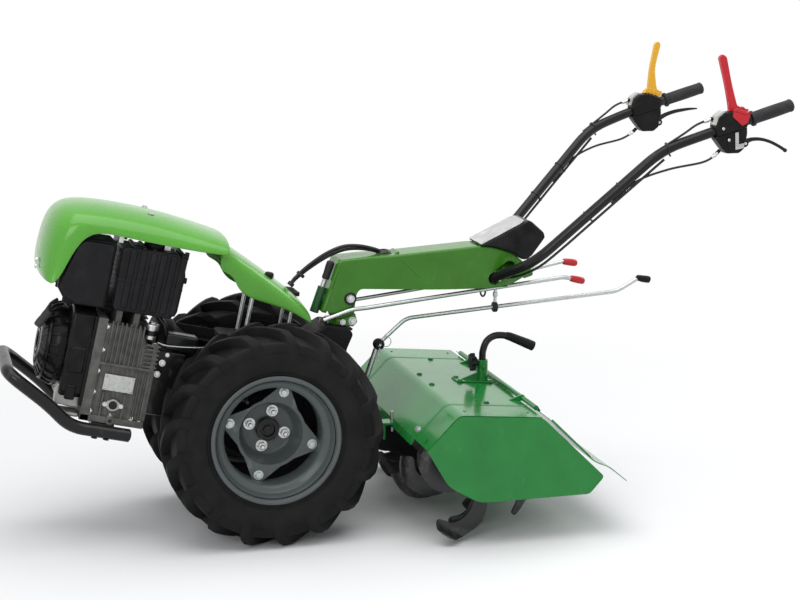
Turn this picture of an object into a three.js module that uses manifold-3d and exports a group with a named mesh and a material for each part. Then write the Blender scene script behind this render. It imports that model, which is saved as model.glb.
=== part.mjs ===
// Walking tractor: a two-wheel tractor with a diesel engine ahead of the axle, a swinging and
// tilting handlebar, and a rotary tiller carried behind.
// Millimetres. X points to the machine's left, Y to its rear, Z up. The wheels stand on Z = 0.
// Parked, the tractor rests on its wheels and on the tiller's tines, with its nose tilted up.

import * as THREE from 'three';
import { mergeVertices } from 'three/addons/utils/BufferGeometryUtils.js';
import Module from 'manifold-3d';

const wasm = await Module();
wasm.setup();

// ---------------------------------------------------------------- driving dimensions

const GAP = 0.3;                // left between pieces that are bolted or clipped together
const SHEET = 3;                // sheet-metal thickness

const TYRE_RADIUS = 287.5;
const TYRE_WIDTH = 165;
const TYRE_WALL = 15;
const TYRE_SIDES = 30;
const TRACK = 400;              // between the wheels' middle planes
const RIM_SEAT_RADIUS = 152.4;  // a 12-inch rim
const RIM_FLANGE_RADIUS = 169;
const RIM_WIDTH = 140;          // between the flanges
const RIM_GAUGE = 4;
const WHEEL_TURN = 18;          // degrees from upright to the first of the disc's lobes
const HUB_FACE = 138;           // from the machine's middle plane to the wheel disc's back
const AXLE_RADIUS = 22;

const LEAN = 13.2;              // degrees that the parked tractor's nose is tilted up

const CRANK_HEIGHT = 100;       // crankshaft above the axle
const BLOCK_FRONT = -482;
const BLOCK_REAR = -318;
const BLOCK_BOTTOM = -55;
const BLOCK_TOP = 165;
const BLOCK_LEFT = 140;
const BLOCK_RIGHT = -125;
const COWL_DEPTH = 62;
const STARTER_RADIUS = 106;
const STARTER_DEPTH = 62;

const CASE_HALF = 62;           // transmission case, half its width
const CASE_TOP = 282;
const BUMPER_TUBE = 17;         // radius
const BUMPER_HALF = 145;

const BONNET_HALF = 153;
const FAIRING_HALF = 112;

const TILLER_HALF = 400;        // to the outside of the side plates
const EXTENSION_WIDTH = 120;    // each bolted extension of the tiller's hood
const TINE_RADIUS = 165;
const TINE_GAUGE = 8;
const TINE_STEP = 30;           // degrees between the tines' places round the shaft
const TINE_FACE = 15;           // degrees of the tip circle that one tine's edge takes
const ROTOR_Y = 508;
const ROTOR_SHAFT = 20;
const SHAFT_SIDES = 16;

const COLUMN_HALF = 50;         // handlebar column, half its width
const BAR_TUBE = 13.5;          // handlebar tube's radius
const GRIP_HALF_SPACING = 282;  // from the middle plane to each grip
const ROD_RADIUS = 6;

// ---------------------------------------------------------------- shaping tools

const radians = THREE.MathUtils.degToRad;
const AXLE_HEIGHT = TYRE_RADIUS * Math.cos(Math.PI / TYRE_SIDES);
const ROTOR_HEIGHT = TINE_RADIUS * Math.cos(radians(TINE_FACE / 2));

function solidOf(geometry) {
  const bare = geometry.clone();
  for (const name of Object.keys(bare.attributes)) {
    if (name !== 'position') bare.deleteAttribute(name);
  }
  const merged = mergeVertices(bare, 1e-4);
  const triangles = [];
  const index = merged.index.array;
  for (let i = 0; i < index.length; i += 3) {
    const [a, b, c] = [index[i], index[i + 1], index[i + 2]];
    if (a !== b && b !== c && c !== a) triangles.push(a, b, c);
  }
  const asMesh = (order) => new wasm.Mesh({
    numProp: 3,
    vertProperties: new Float32Array(merged.attributes.position.array),
    triVerts: new Uint32Array(order),
  });
  const solid = new wasm.Manifold(asMesh(triangles));
  if (solid.volume() > 0) return solid;
  return new wasm.Manifold(asMesh(triangles.toReversed()));
}

const joined = (...solids) => solids.reduce((sum, one) => sum.add(one));
const cut = (body, ...tools) => tools.reduce((rest, tool) => rest.subtract(tool), body);

// A flat outline in the (y, z) plane, drawn out along X from x0 to x1.
function slab(outline, x0, x1, steps = 1) {
  const shape = new THREE.Shape(outline.map(([y, z]) => new THREE.Vector2(y, z)));
  const geometry = new THREE.ExtrudeGeometry(shape, { depth: x1 - x0, steps, bevelEnabled: false });
  geometry.applyMatrix4(new THREE.Matrix4().set(0, 0, 1, x0, 1, 0, 0, 0, 0, 1, 0, 0, 0, 0, 0, 1));
  return solidOf(geometry);
}

// A flat outline in the (x, z) plane, drawn out along Y.
function across(outline, y0, y1) {
  const shape = new THREE.Shape(outline.map(([x, z]) => new THREE.Vector2(x, z)));
  const geometry = new THREE.ExtrudeGeometry(shape, { depth: y1 - y0, bevelEnabled: false });
  geometry.rotateX(Math.PI / 2).translate(0, y1, 0);
  return solidOf(geometry);
}

// A flat outline in the (x, y) plane, drawn up along Z.
function upright(outline, z0, z1) {
  const shape = new THREE.Shape(outline.map(([x, y]) => new THREE.Vector2(x, y)));
  const geometry = new THREE.ExtrudeGeometry(shape, { depth: z1 - z0, bevelEnabled: false });
  geometry.translate(0, 0, z0);
  return solidOf(geometry);
}

function block(x0, x1, y0, y1, z0, z1) {
  const geometry = new THREE.BoxGeometry(x1 - x0, y1 - y0, z1 - z0);
  geometry.translate((x0 + x1) / 2, (y0 + y1) / 2, (z0 + z1) / 2);
  return solidOf(geometry);
}

// A round shape about the X axis from a profile of [x, radius], with a flat side facing down.
function turned(profile, sides = 32, closedRing = false) {
  const points = profile.map(([x, r]) => new THREE.Vector2(r, x));
  if (closedRing) points.push(points[0].clone());
  const geometry = new THREE.LatheGeometry(points, sides, Math.PI / sides);
  geometry.rotateZ(-Math.PI / 2);
  return solidOf(geometry);
}

const turnedAboutY = (profile, sides) => turned(profile, sides).rotate([0, 0, 90]);
const turnedAboutZ = (profile, sides) => turned(profile, sides).rotate([0, -90, 0]);

// A plain round bar between two points.
function rod(from, to, radius, sides = 12) {
  const [a, b] = [new THREE.Vector3(...from), new THREE.Vector3(...to)];
  const geometry = new THREE.CylinderGeometry(radius, radius, a.distanceTo(b), sides);
  const up = new THREE.Vector3(0, 1, 0);
  geometry.applyQuaternion(new THREE.Quaternion().setFromUnitVectors(up, b.clone().sub(a).normalize()));
  geometry.translate(...a.add(b).multiplyScalar(0.5).toArray());
  return solidOf(geometry);
}

// A bent tube: straight runs between the points, with each corner rounded off by the bend.
function bentTube(points, radius, bend, sides = 12, arcSteps = 4) {
  const corners = points.map((p) => new THREE.Vector3(...p));
  const path = [corners[0]];
  for (let i = 1; i < corners.length - 1; i += 1) {
    const before = corners[i - 1].clone().sub(corners[i]);
    const after = corners[i + 1].clone().sub(corners[i]);
    const reach = Math.min(bend, before.length() / 2.2, after.length() / 2.2);
    const start = corners[i].clone().addScaledVector(before.normalize(), reach);
    const end = corners[i].clone().addScaledVector(after.normalize(), reach);
    const arc = new THREE.QuadraticBezierCurve3(start, corners[i], end);
    path.push(...arc.getPoints(arcSteps));
  }
  path.push(corners.at(-1));
  return sweptTube(path, radius, sides);
}

// A round section carried along a chain of points, square to the path at each of them.
function sweptTube(path, radius, sides) {
  const curve = new THREE.CurvePath();
  for (let i = 1; i < path.length; i += 1) curve.add(new THREE.LineCurve3(path[i - 1], path[i]));
  const last = path.length - 1;
  curve.getPointAt = (t) => path[Math.round(t * last)].clone();
  curve.getTangentAt = (t) => {
    const i = Math.round(t * last);
    const ahead = path[Math.min(i + 1, last)].clone().sub(path[i]).normalize();
    const behind = path[i].clone().sub(path[Math.max(i - 1, 0)]).normalize();
    return ahead.add(behind).normalize();
  };
  const section = new THREE.Shape();
  for (let i = 0; i < sides; i += 1) {
    const angle = (2 * Math.PI * i) / sides;
    const point = [radius * Math.cos(angle), radius * Math.sin(angle)];
    if (i === 0) section.moveTo(...point);
    else section.lineTo(...point);
  }
  const options = { steps: last, extrudePath: curve, bevelEnabled: false };
  return solidOf(new THREE.ExtrudeGeometry(section, options));
}

// Points along a smooth curve through a few chosen ones.
function smoothPath(points, steps) {
  const curve = new THREE.CatmullRomCurve3(points.map((p) => new THREE.Vector3(...p)));
  return curve.getSpacedPoints(steps);
}

// The strip of the given gauge on the inner side of a folded sheet's outline.
function foldedStrip(outline, gauge) {
  const inner = outline.map((point, i) => {
    const directions = [];
    if (i > 0) directions.push([outline[i - 1], point]);
    if (i < outline.length - 1) directions.push([point, outline[i + 1]]);
    const normals = directions.map(([a, b]) => {
      const length = Math.hypot(b[0] - a[0], b[1] - a[1]);
      return [(b[1] - a[1]) / length, -(b[0] - a[0]) / length];
    });
    if (normals.length === 1) return [point[0] + gauge * normals[0][0], point[1] + gauge * normals[0][1]];
    const [m, n] = normals;
    const scale = gauge / (1 + m[0] * n[0] + m[1] * n[1]);
    return [point[0] + scale * (m[0] + n[0]), point[1] + scale * (m[1] + n[1])];
  });
  return [...outline, ...inner.toReversed()];
}

const mirrorX = (points) => points.map(([x, ...rest]) => [-x, ...rest]);

// ---------------------------------------------------------------- finishes

function finish(color, roughness, metalness) {
  return new THREE.MeshStandardMaterial({ color, roughness, metalness });
}
const bonnetGreen = finish(0x57a83c, 0.35, 0);
const columnGreen = finish(0x3f8227, 0.4, 0);
const tillerGreen = finish(0x1f7d34, 0.4, 0);
const blackPaint = finish(0x141414, 0.5, 0);
const blackPlastic = finish(0x1a1a1b, 0.6, 0);
const blackRubber = finish(0x161616, 0.85, 0);
const greyRim = finish(0x5c6462, 0.5, 0.1);
const castAluminium = finish(0x7c7b74, 0.55, 0.7);
const castIron = finish(0x232425, 0.7, 0.4);
const zincPlate = finish(0xb4b8b8, 0.35, 0.9);
const redPlastic = finish(0xb01620, 0.4, 0);
const yellowPlastic = finish(0xe0a020, 0.4, 0);

const machine = new THREE.Group();
const tractor = new THREE.Group();      // leans back about the axle
tractor.position.set(0, 0, AXLE_HEIGHT);
tractor.rotation.x = -radians(LEAN);
machine.add(tractor);

function place(parent, name, solid, material) {
  const { vertProperties, triVerts } = solid.getMesh();
  const geometry = new THREE.BufferGeometry();
  geometry.setAttribute('position', new THREE.BufferAttribute(vertProperties, 3));
  geometry.setIndex(new THREE.BufferAttribute(triVerts, 1));
  geometry.computeVertexNormals();
  const mesh = new THREE.Mesh(geometry, material);
  mesh.name = name;
  parent.add(mesh);
  return mesh;
}

// ---------------------------------------------------------------- road wheels

function tyreSolid() {
  const half = TYRE_WIDTH / 2;
  const bead = RIM_WIDTH / 2 - GAP;
  const seat = RIM_SEAT_RADIUS + GAP;
  const outer = [
    [bead, seat], [bead, RIM_FLANGE_RADIUS + 1], [half - 4, RIM_FLANGE_RADIUS + 20],
    [half, TYRE_RADIUS - 66], [half - 7, TYRE_RADIUS - 18], [half - 38, TYRE_RADIUS],
  ];
  const inner = [
    [bead - TYRE_WALL, seat], [half - TYRE_WALL, TYRE_RADIUS - 70],
    [half - TYRE_WALL - 18, TYRE_RADIUS - TYRE_WALL - 5], [0, TYRE_RADIUS - TYRE_WALL],
  ];
  const flip = ([x, r]) => [-x, r];
  const ring = [
    ...outer, ...outer.toReversed().map(flip), ...inner.map(flip), ...inner.toReversed().slice(1),
  ];
  return turned(ring, TYRE_SIDES, true);
}

// The rim, with the dished disc bolted inside its well. x is measured outwards from the
// wheel's middle plane; the dish sinks inwards to the hub.
function rimSolid() {
  const half = RIM_WIDTH / 2;
  const well = RIM_SEAT_RADIUS - 24.4;
  const upper = [
    [half + RIM_GAUGE, RIM_FLANGE_RADIUS], [half, RIM_FLANGE_RADIUS], [half, RIM_SEAT_RADIUS],
    [42, RIM_SEAT_RADIUS - 2], [28, well],
  ];
  const lower = [
    [half + RIM_GAUGE, RIM_SEAT_RADIUS - RIM_GAUGE], [44, RIM_SEAT_RADIUS - 2 - RIM_GAUGE],
    [30, well - RIM_GAUGE],
  ];
  const flip = ([x, r]) => [-x, r];
  const ring = turned(
    [...upper, ...upper.toReversed().map(flip), ...lower.map(flip), ...lower.toReversed()],
    TYRE_SIDES, true,
  );
  const sink = HUB_FACE - TRACK / 2;
  const mouth = 85;
  const floorRadius = 74;
  const dish = turned([
    [0, mouth + 6], [0, mouth], [sink + RIM_GAUGE, floorRadius - RIM_GAUGE], [sink + RIM_GAUGE, 26],
    [sink, 26], [sink, floorRadius], [-RIM_GAUGE, mouth + 2], [-RIM_GAUGE, mouth + 6],
  ], 20, true);
  const reach = well - RIM_GAUGE + 1.5;
  const lobe = [[-16, reach], [16, reach], [52, 76], [30, 60], [-30, 60], [-52, 76]];
  const bowlSpace = turned([[-RIM_GAUGE - 1, 0], [-RIM_GAUGE - 1, mouth + 1], [1, mouth + 1], [1, 0]], 20);
  let disc = dish;
  for (let i = 0; i < 4; i += 1) {
    const petal = cut(slab(lobe, -RIM_GAUGE, 0), bowlSpace);
    disc = disc.add(petal.rotate([90 * i - WHEEL_TURN, 0, 0]));
  }
  return ring.add(disc);
}

// The stub axle, the flange that the wheel is bolted to, and the hub cap.
function hubSolid() {
  const flangeBack = HUB_FACE - 14;
  const capEnd = HUB_FACE + 22;
  return turned([
    [CASE_HALF + 6, 0], [CASE_HALF + 6, AXLE_RADIUS], [flangeBack, AXLE_RADIUS], [flangeBack, 64],
    [HUB_FACE - GAP, 64], [HUB_FACE - GAP, 25], [HUB_FACE + RIM_GAUGE, 25], [HUB_FACE + RIM_GAUGE + 1, 31],
    [capEnd - 4, 31], [capEnd, 25], [capEnd, 0],
  ], 20);
}

for (const [side, sign] of [['left', 1], ['right', -1]]) {
  const wheel = new THREE.Group();
  wheel.position.set(0, 0, AXLE_HEIGHT);
  machine.add(wheel);
  const handed = (solid) => (sign > 0 ? solid : solid.mirror([1, 0, 0]));
  const middle = [sign * TRACK / 2, 0, 0];
  place(wheel, `tyre_${side}`, handed(tyreSolid()).translate(middle), blackRubber);
  place(wheel, `wheel_rim_${side}`, handed(rimSolid()).translate(middle), greyRim);
  place(wheel, `wheel_hub_${side}`, handed(hubSolid()), blackPaint);
}

// ---------------------------------------------------------------- transmission
// Measured in the leaning tractor's own frame, from the axle's centre.

const housingEnd = HUB_FACE - 16;
const axleBore = AXLE_RADIUS + GAP;
const caseOutline = [
  [-150, 205], [-150, -10], [-70, -95], [60, -105], [120, -70], [190, -35], [190, 228], [198, 268],
  [184, CASE_TOP], [122, CASE_TOP], [70, 232], [-60, 212],
];
const caseBody = slab(caseOutline, -CASE_HALF, CASE_HALF);
function axleHousing(sign) {
  const tube = turned([
    [CASE_HALF - 2, 0], [CASE_HALF - 2, 66], [CASE_HALF + 12, 66], [CASE_HALF + 14, 46],
    [housingEnd - 10, 42], [housingEnd - 10, 52], [housingEnd, 52], [housingEnd, 0],
  ], 20);
  return sign > 0 ? tube : tube.mirror([1, 0, 0]);
}
const boreSpan = [-CASE_HALF - 80, -CASE_HALF - 4];
const axleSpace = turned([
  [boreSpan[0], 0], [boreSpan[0], axleBore], [boreSpan[1], axleBore], [boreSpan[1], 0],
], 20);
place(
  tractor, 'transmission_case',
  cut(joined(caseBody, axleHousing(1), axleHousing(-1)), axleSpace, axleSpace.mirror([1, 0, 0])),
  castIron,
);

const bellFront = BLOCK_REAR + GAP;
const bellRear = -150 - GAP;
place(
  tractor, 'clutch_housing',
  turnedAboutY([
    [-bellRear, 0], [-bellRear, 84], [-bellRear + 12, 84], [-bellFront - 60, 92],
    [-bellFront - 40, 118], [-bellFront, 118], [-bellFront, 0],
  ], 20).mirror([0, 1, 0]).translate([0, 0, CRANK_HEIGHT]),
  castIron,
);

// ---------------------------------------------------------------- engine

const CYLINDER_TOP = 392;
const crankcase = slab([
  [BLOCK_FRONT, BLOCK_BOTTOM], [BLOCK_REAR, BLOCK_BOTTOM], [BLOCK_REAR, BLOCK_TOP],
  [BLOCK_REAR - 50, BLOCK_TOP], [BLOCK_REAR - 50, BLOCK_TOP + 47], [BLOCK_FRONT, BLOCK_TOP + 47],
], BLOCK_RIGHT, BLOCK_LEFT);
const cylinder = block(-70, 14, BLOCK_FRONT + 8, BLOCK_REAR - 20, BLOCK_TOP, CYLINDER_TOP);
const fillerFoot = [BLOCK_LEFT - 30, BLOCK_REAR - 24, BLOCK_TOP - 5];
const fillerTop = [BLOCK_LEFT - 30, BLOCK_REAR - 24, BLOCK_TOP + 44];
const TANK_BOTTOM = 236;
const TANK_TOP = 405;
const tankRests = [-440, -395].map((y) => block(40, 126, y, y + 16, BLOCK_TOP, TANK_BOTTOM - GAP));
place(
  tractor, 'engine_block',
  joined(crankcase, cylinder, rod(fillerFoot, fillerTop, 17, 20), ...tankRests),
  castAluminium,
);

const cowlRear = BLOCK_FRONT - GAP;
const cowlFront = cowlRear - COWL_DEPTH;
place(
  tractor, 'cooling_cowl',
  across([
    [-118, 8], [-85, -22], [95, -22], [132, 8], [136, 150], [122, 214], [60, 226], [18, 228],
    [0, 252], [-80, 252], [-118, 200],
  ], cowlFront, cowlRear),
  blackPlastic,
);

const starterRear = cowlFront - GAP;
const handleTop = [78, starterRear - 54, 198];
const handleFoot = [78, starterRear - 78, 152];
const HANDLE_RADIUS = 11;
const ropeGuide = cut(
  rod([44, starterRear - 34, 148], [78, starterRear - 66, 175], 9, 12),
  rod(handleTop, handleFoot, HANDLE_RADIUS + GAP, 12),
  block(0, 200, starterRear - 120, starterRear - 66, 100, 250),
);
place(
  tractor, 'recoil_starter',
  joined(turnedAboutY([
    [0, 0], [0, STARTER_RADIUS], [20, STARTER_RADIUS], [STARTER_DEPTH - 14, STARTER_RADIUS - 18],
    [STARTER_DEPTH, STARTER_RADIUS - 40], [STARTER_DEPTH, 0],
  ], 24).rotate([0, 0, 180]).translate([8, starterRear, CRANK_HEIGHT + 5]), ropeGuide),
  blackPlastic,
);
place(tractor, 'starter_handle', rod(handleTop, handleFoot, HANDLE_RADIUS, 12), blackPlastic);

place(
  tractor, 'air_cleaner',
  slab([
    [-472, TANK_BOTTOM - 2], [-545, TANK_BOTTOM - 4], [-580, 244], [-598, 268], [-596, 300],
    [-585, 340], [-574, 385], [-560, 402], [-480, 406], [-472, 398],
  ], 24, 150),
  blackPlastic,
);
place(
  tractor, 'fuel_tank',
  slab([
    [-448, TANK_BOTTOM], [-308, TANK_BOTTOM], [-292, 252], [-290, 352], [-296, 380],
    [-316, TANK_TOP], [-452, 400], [-460, 392], [-456, 244],
  ], 24, 148),
  blackPlastic,
);
place(
  tractor, 'exhaust_silencer',
  joined(
    rod([-113, -470, 300], [-113, -320, 300], 36, 20),
    block(-90, -70 - GAP, -440, -400, 285, 325),
  ),
  castIron,
);

// ---------------------------------------------------------------- bonnet and rear fairing

const BONNET_FRONT = -655;
const BONNET_REAR = -192;
const BONNET_EDGE = 421;        // the side panels' lower edge
const BONNET_CROWN = 486;

// The bonnet's outer skin, or the space inside it where the wall is taken off all round.
function bonnetSkin(wall) {
  const side = slab([
    [BONNET_REAR + 2 * wall, BONNET_EDGE - 20 - 8 * wall], [BONNET_REAR + 2 * wall, 462 - wall],
    [-300, 478 - wall], [-400, BONNET_CROWN - wall], [-500, BONNET_CROWN - wall],
    [-580, 478 - wall], [-625 + wall / 2, 464 - wall], [-642 + wall, 444 - wall / 2], [-650 + wall, 400],
    [BONNET_FRONT + wall, 300], [-648 + wall, 288], [-640 + wall, 278 - 8 * wall],
  ], -BONNET_HALF - 10, BONNET_HALF + 10);
  const front = across([
    [-BONNET_HALF + wall, 100], [BONNET_HALF - wall, 100], [BONNET_HALF - wall, 425],
    [BONNET_HALF - 5 - wall, 443 - wall / 2], [BONNET_HALF - 25 - wall / 2, 462 - wall],
    [BONNET_HALF - 65, 476 - wall],
    [50, BONNET_CROWN - 3 - wall], [0, BONNET_CROWN - wall], [-50, BONNET_CROWN - 3 - wall],
    [-BONNET_HALF + 65, 476 - wall], [-BONNET_HALF + 25 + wall / 2, 462 - wall],
    [-BONNET_HALF + 5 + wall, 443 - wall / 2], [-BONNET_HALF + wall, 425],
  ], BONNET_FRONT - 10, BONNET_REAR + 40);
  const half = BONNET_HALF - wall;
  const plan = upright([
    [-half, BONNET_REAR + 40], [-half, -600], [-half + 8, -622], [-half + 30, -640],
    [-half + 60, -650 + wall],
    [-half + 100, BONNET_FRONT + wall], [half - 100, BONNET_FRONT + wall], [half - 60, -650 + wall],
    [half - 30, -640], [half - 8, -622], [half, -600], [half, BONNET_REAR + 40],
  ], 100, 600);
  return side.intersect(front).intersect(plan);
}
const belowEdge = slab([
  [BONNET_REAR + 60, BONNET_EDGE + 6], [-230, BONNET_EDGE], [-452, BONNET_EDGE + 1], [-526, BONNET_EDGE + 3],
  [-545, 414], [-560, 396], [-575, 366], [-590, 322], [-599, 292], [-610, 281], [-616, 277],
  [-616, 100], [BONNET_REAR + 60, 100],
], -BONNET_HALF - 20, BONNET_HALF + 20);
const bonnetPosts = joined(
  block(-70, -40, -440, -420, CYLINDER_TOP + GAP, BONNET_CROWN - SHEET),
  block(-40, 4, -395, -375, CYLINDER_TOP + GAP, BONNET_CROWN - SHEET - 2),
);
const underNose = block(-BONNET_HALF - 20, BONNET_HALF + 20, BONNET_FRONT - 20, -600, 200, 277);
place(
  tractor, 'engine_bonnet',
  joined(cut(bonnetSkin(0), bonnetSkin(SHEET), belowEdge, underNose), bonnetPosts),
  bonnetGreen,
);

const FAIRING_DROP = 20;        // how far its top falls from the spine to either side
function fairingSkin(wall) {
  const side = slab([
    [-212 - 2 * wall, 440 - wall], [-166, 434 - wall], [-120, 410 - wall], [-69, 388 - wall],
    [22, 346 - wall], [72 + 2 * wall, 296 - wall], [72 + 2 * wall, 200], [-212 - 2 * wall, 200],
  ], -FAIRING_HALF, FAIRING_HALF, 8).warp((point) => {
    point[2] -= FAIRING_DROP * (point[0] / FAIRING_HALF) ** 2;
  });
  const plan = upright([
    [-FAIRING_HALF + wall, -300], [FAIRING_HALF - wall, -300], [FAIRING_HALF - wall, 20],
    [FAIRING_HALF - 30 - wall, 100], [-FAIRING_HALF + 30 + wall, 100], [-FAIRING_HALF + wall, 20],
  ], 100, 600);
  return side.intersect(plan);
}
const fairingBelly = slab([
  [-240, 372], [-164, 373], [-150, 352], [-134, 330], [-93, 318], [-27, 316.6], [69, 281], [120, 262],
  [120, 100], [-240, 100],
], -FAIRING_HALF - 20, FAIRING_HALF + 20);
const stay = (x) => rod([x, -91, 390], [x, -89, 206 + GAP], 5, 8);
const caseTopOutline = [...caseOutline.slice(-2), [-150, 205], [-150, 150], [70, 150]];
const caseTopAt = slab(caseTopOutline, -CASE_HALF, CASE_HALF);
place(
  tractor, 'rear_fairing',
  joined(
    cut(fairingSkin(0), fairingSkin(SHEET), fairingBelly),
    cut(joined(stay(50), stay(-50)), caseTopAt.translate([0, 0, GAP])),
  ),
  bonnetGreen,
);

// ---------------------------------------------------------------- front bumper

const bumperLevel = BLOCK_BOTTOM - BUMPER_TUBE - 3;
const bumperSide = [
  [BUMPER_HALF, -348, bumperLevel], [BUMPER_HALF, -500, bumperLevel],
  [BUMPER_HALF, -560, -30], [BUMPER_HALF, -676, 34],
];
const bumperTube = bentTube([...bumperSide, ...mirrorX(bumperSide).toReversed()], BUMPER_TUBE, 45, 10, 3);
const bumperStrap = block(-BUMPER_HALF, BUMPER_HALF, -450, -390, BLOCK_BOTTOM - GAP - 12, BLOCK_BOTTOM - GAP);
place(tractor, 'front_bumper', joined(bumperTube, bumperStrap), blackPaint);

// ---------------------------------------------------------------- rotary tiller

const HOOD_FRONT = [358, 268];
const HOOD_BEND = [443, 354];
const HOOD_REAR = [664, 334];
const hoodFold = [HOOD_FRONT, HOOD_BEND, HOOD_REAR];
const hoodSlope = (HOOD_REAR[1] - HOOD_BEND[1]) / (HOOD_REAR[0] - HOOD_BEND[0]);
const hoodTopAt = (y) => HOOD_BEND[1] + (y - HOOD_BEND[0]) * hoodSlope;
const hoodUnderAt = (y) => hoodTopAt(y) - SHEET / Math.cos(Math.atan(hoodSlope));
const seam = TILLER_HALF - EXTENSION_WIDTH;

// Gear case: bolted to the back of the transmission, reaching down to the rotor's shaft.
const caseFlange = slab([[190 + GAP, -50], [214, -50], [214, 78], [190 + GAP, 78]], -66, 66)
  .rotate([-LEAN, 0, 0]).translate([0, 0, AXLE_HEIGHT]);
const armOutline = [
  [206, 312], [266, 270], [345, 252], [440, 250], [505, 232], [550, 205], [562, ROTOR_HEIGHT], [548, 125],
  [508, 108], [468, 122], [400, 150], [300, 186], [196, 215],
];
const caseSpace = slab(
  [[-100, -250], [190 + GAP, -250], [190 + GAP, 400], [-100, 400]], -CASE_HALF - 20, CASE_HALF + 20,
).rotate([-LEAN, 0, 0]).translate([0, 0, AXLE_HEIGHT]);
const hoodSeat = slab([
  [468, 220], [560, 190], [560, hoodUnderAt(560) - GAP], [468, hoodUnderAt(468) - GAP],
], -30, 30);
const shaftBore = (ROTOR_SHAFT + GAP) / Math.cos(Math.PI / SHAFT_SIDES);
const shaftSpace = turned([[-60, 0], [-60, shaftBore], [60, shaftBore], [60, 0]], SHAFT_SIDES)
  .translate([0, ROTOR_Y, ROTOR_HEIGHT]);
place(
  machine, 'tiller_gearcase',
  cut(joined(caseFlange, cut(slab(armOutline, -38, 38), caseSpace), hoodSeat), shaftSpace),
  blackPaint,
);

// Rear flap's hinge line, just above the hood's rear edge.
const HINGE_Y = HOOD_REAR[0] + 8;
const HINGE_Z = HOOD_REAR[1] + 6;
const HINGE_PIN = 4;
const LUG_PLACES = [-220, 220];
const LUG_HALF = 4;
const hingeLug = (x) => cut(
  slab([
    [HOOD_REAR[0] - 34, hoodTopAt(HOOD_REAR[0] - 34) - 1], [HOOD_REAR[0] - 1, HOOD_REAR[1] - 1],
    [HINGE_Y + 7, HINGE_Z - 8], [HINGE_Y + 9, HINGE_Z + 2], [HINGE_Y + 3, HINGE_Z + 9],
    [HINGE_Y - 6, HINGE_Z + 8],
  ], x - LUG_HALF, x + LUG_HALF),
  rod([x - 20, HINGE_Y, HINGE_Z], [x + 20, HINGE_Y, HINGE_Z], HINGE_PIN + GAP, 16),
);
const SLEEVE_Y = 632;
const SLEEVE_BORE = 10.6;
const sleeveHole = rod([0, SLEEVE_Y, 300], [0, SLEEVE_Y, 420], SLEEVE_BORE, 20);
place(
  machine, 'tiller_hood',
  cut(joined(slab(foldedStrip(hoodFold, SHEET), -seam, seam), ...LUG_PLACES.map(hingeLug)), sleeveHole),
  tillerGreen,
);

// Side extensions: a strip of hood with the side plate at its outer end.
const sidePlate = [
  HOOD_BEND, HOOD_REAR, [838, 163], [798, 119], [499, 119], [417, 167], HOOD_FRONT,
];
function extensionSolid() {
  const strip = slab(foldedStrip(hoodFold, SHEET), seam + GAP, TILLER_HALF);
  return strip.add(slab(sidePlate, TILLER_HALF - SHEET, TILLER_HALF));
}
place(machine, 'hood_extension_left', extensionSolid(), tillerGreen);
place(machine, 'hood_extension_right', extensionSolid().mirror([1, 0, 0]), tillerGreen);

// Rear flap: hangs from the lugs and lies on the side plates' rear edges.
const flapFold = [[680, 329], [806, 206], [854, 184], [900, 145]];
const flapPlate = slab(foldedStrip(flapFold, -SHEET), -TILLER_HALF + 2, TILLER_HALF - 2);
const barrelRadius = 6.5;
const BARREL_END = 330;
const lugSpan = LUG_HALF + 1;
const barrelRuns = [
  [-BARREL_END, LUG_PLACES[0] - lugSpan], [LUG_PLACES[0] + lugSpan, LUG_PLACES[1] - lugSpan],
  [LUG_PLACES[1] + lugSpan, BARREL_END],
];
const barrels = barrelRuns.map(([x0, x1]) => joined(
  rod([x0, HINGE_Y, HINGE_Z], [x1, HINGE_Y, HINGE_Z], barrelRadius, 16),
  slab([[HINGE_Y - 1, HINGE_Z + 4], [683, 328], [685, 332], [HINGE_Y + 4, HINGE_Z + 6]], x0, x1),
));
place(
  machine, 'rear_flap',
  joined(
    flapPlate, rod([-BARREL_END, HINGE_Y, HINGE_Z], [BARREL_END, HINGE_Y, HINGE_Z], HINGE_PIN, 16), ...barrels,
  ),
  tillerGreen,
);

// Depth setting: a bar that slides in the sleeve, its curved handle above and its foot below.
const BAR_RADIUS = 10;
const sleeveTop = 398;
const KNOB_Z = 392;
const sleeve = cut(
  joined(
    rod([0, SLEEVE_Y, hoodTopAt(SLEEVE_Y) - 8], [0, SLEEVE_Y, sleeveTop], 15, 20),
    slab([[560, hoodTopAt(560)], [SLEEVE_Y - 6, hoodTopAt(SLEEVE_Y)], [SLEEVE_Y - 6, 366]], -3, 3),
    slab([
      [552, hoodTopAt(552)], [655, hoodTopAt(655)], [655, hoodTopAt(655) + 4], [552, hoodTopAt(552) + 4],
    ], -28, 28),
  ),
  slab([[500, 300], [700, 300], [700, hoodTopAt(700) + GAP], [500, hoodTopAt(500) + GAP]], -60, 60),
  sleeveHole,
);
place(machine, 'depth_sleeve', sleeve, tillerGreen);
place(
  machine, 'depth_knob',
  cut(
    joined(
      turnedAboutY([[-36, 0], [-36, 24], [-22, 26], [-20, 12], [-8, 12], [-8, 0]], 20)
        .translate([0, SLEEVE_Y, KNOB_Z]),
      turnedAboutY([[-21, 0], [-21, 6], [-10, 6], [-10, 0]], 12).translate([0, SLEEVE_Y, KNOB_Z]),
    ),
    rod([0, SLEEVE_Y, 340], [0, SLEEVE_Y, 420], 15 + GAP, 20),
  ),
  blackPlastic,
);
const depthPath = smoothPath([
  [0, SLEEVE_Y, 400], [0, SLEEVE_Y + 2, 424], [0, 645, 449], [0, 668, 462], [0, 700, 460],
  [0, 740, 444], [0, 779, 426],
], 10);
const depthFoot = smoothPath([
  [0, SLEEVE_Y, 200], [0, SLEEVE_Y + 2, 150], [0, 650, 95], [0, 690, 52], [0, 735, 38],
], 5).toReversed();
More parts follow.
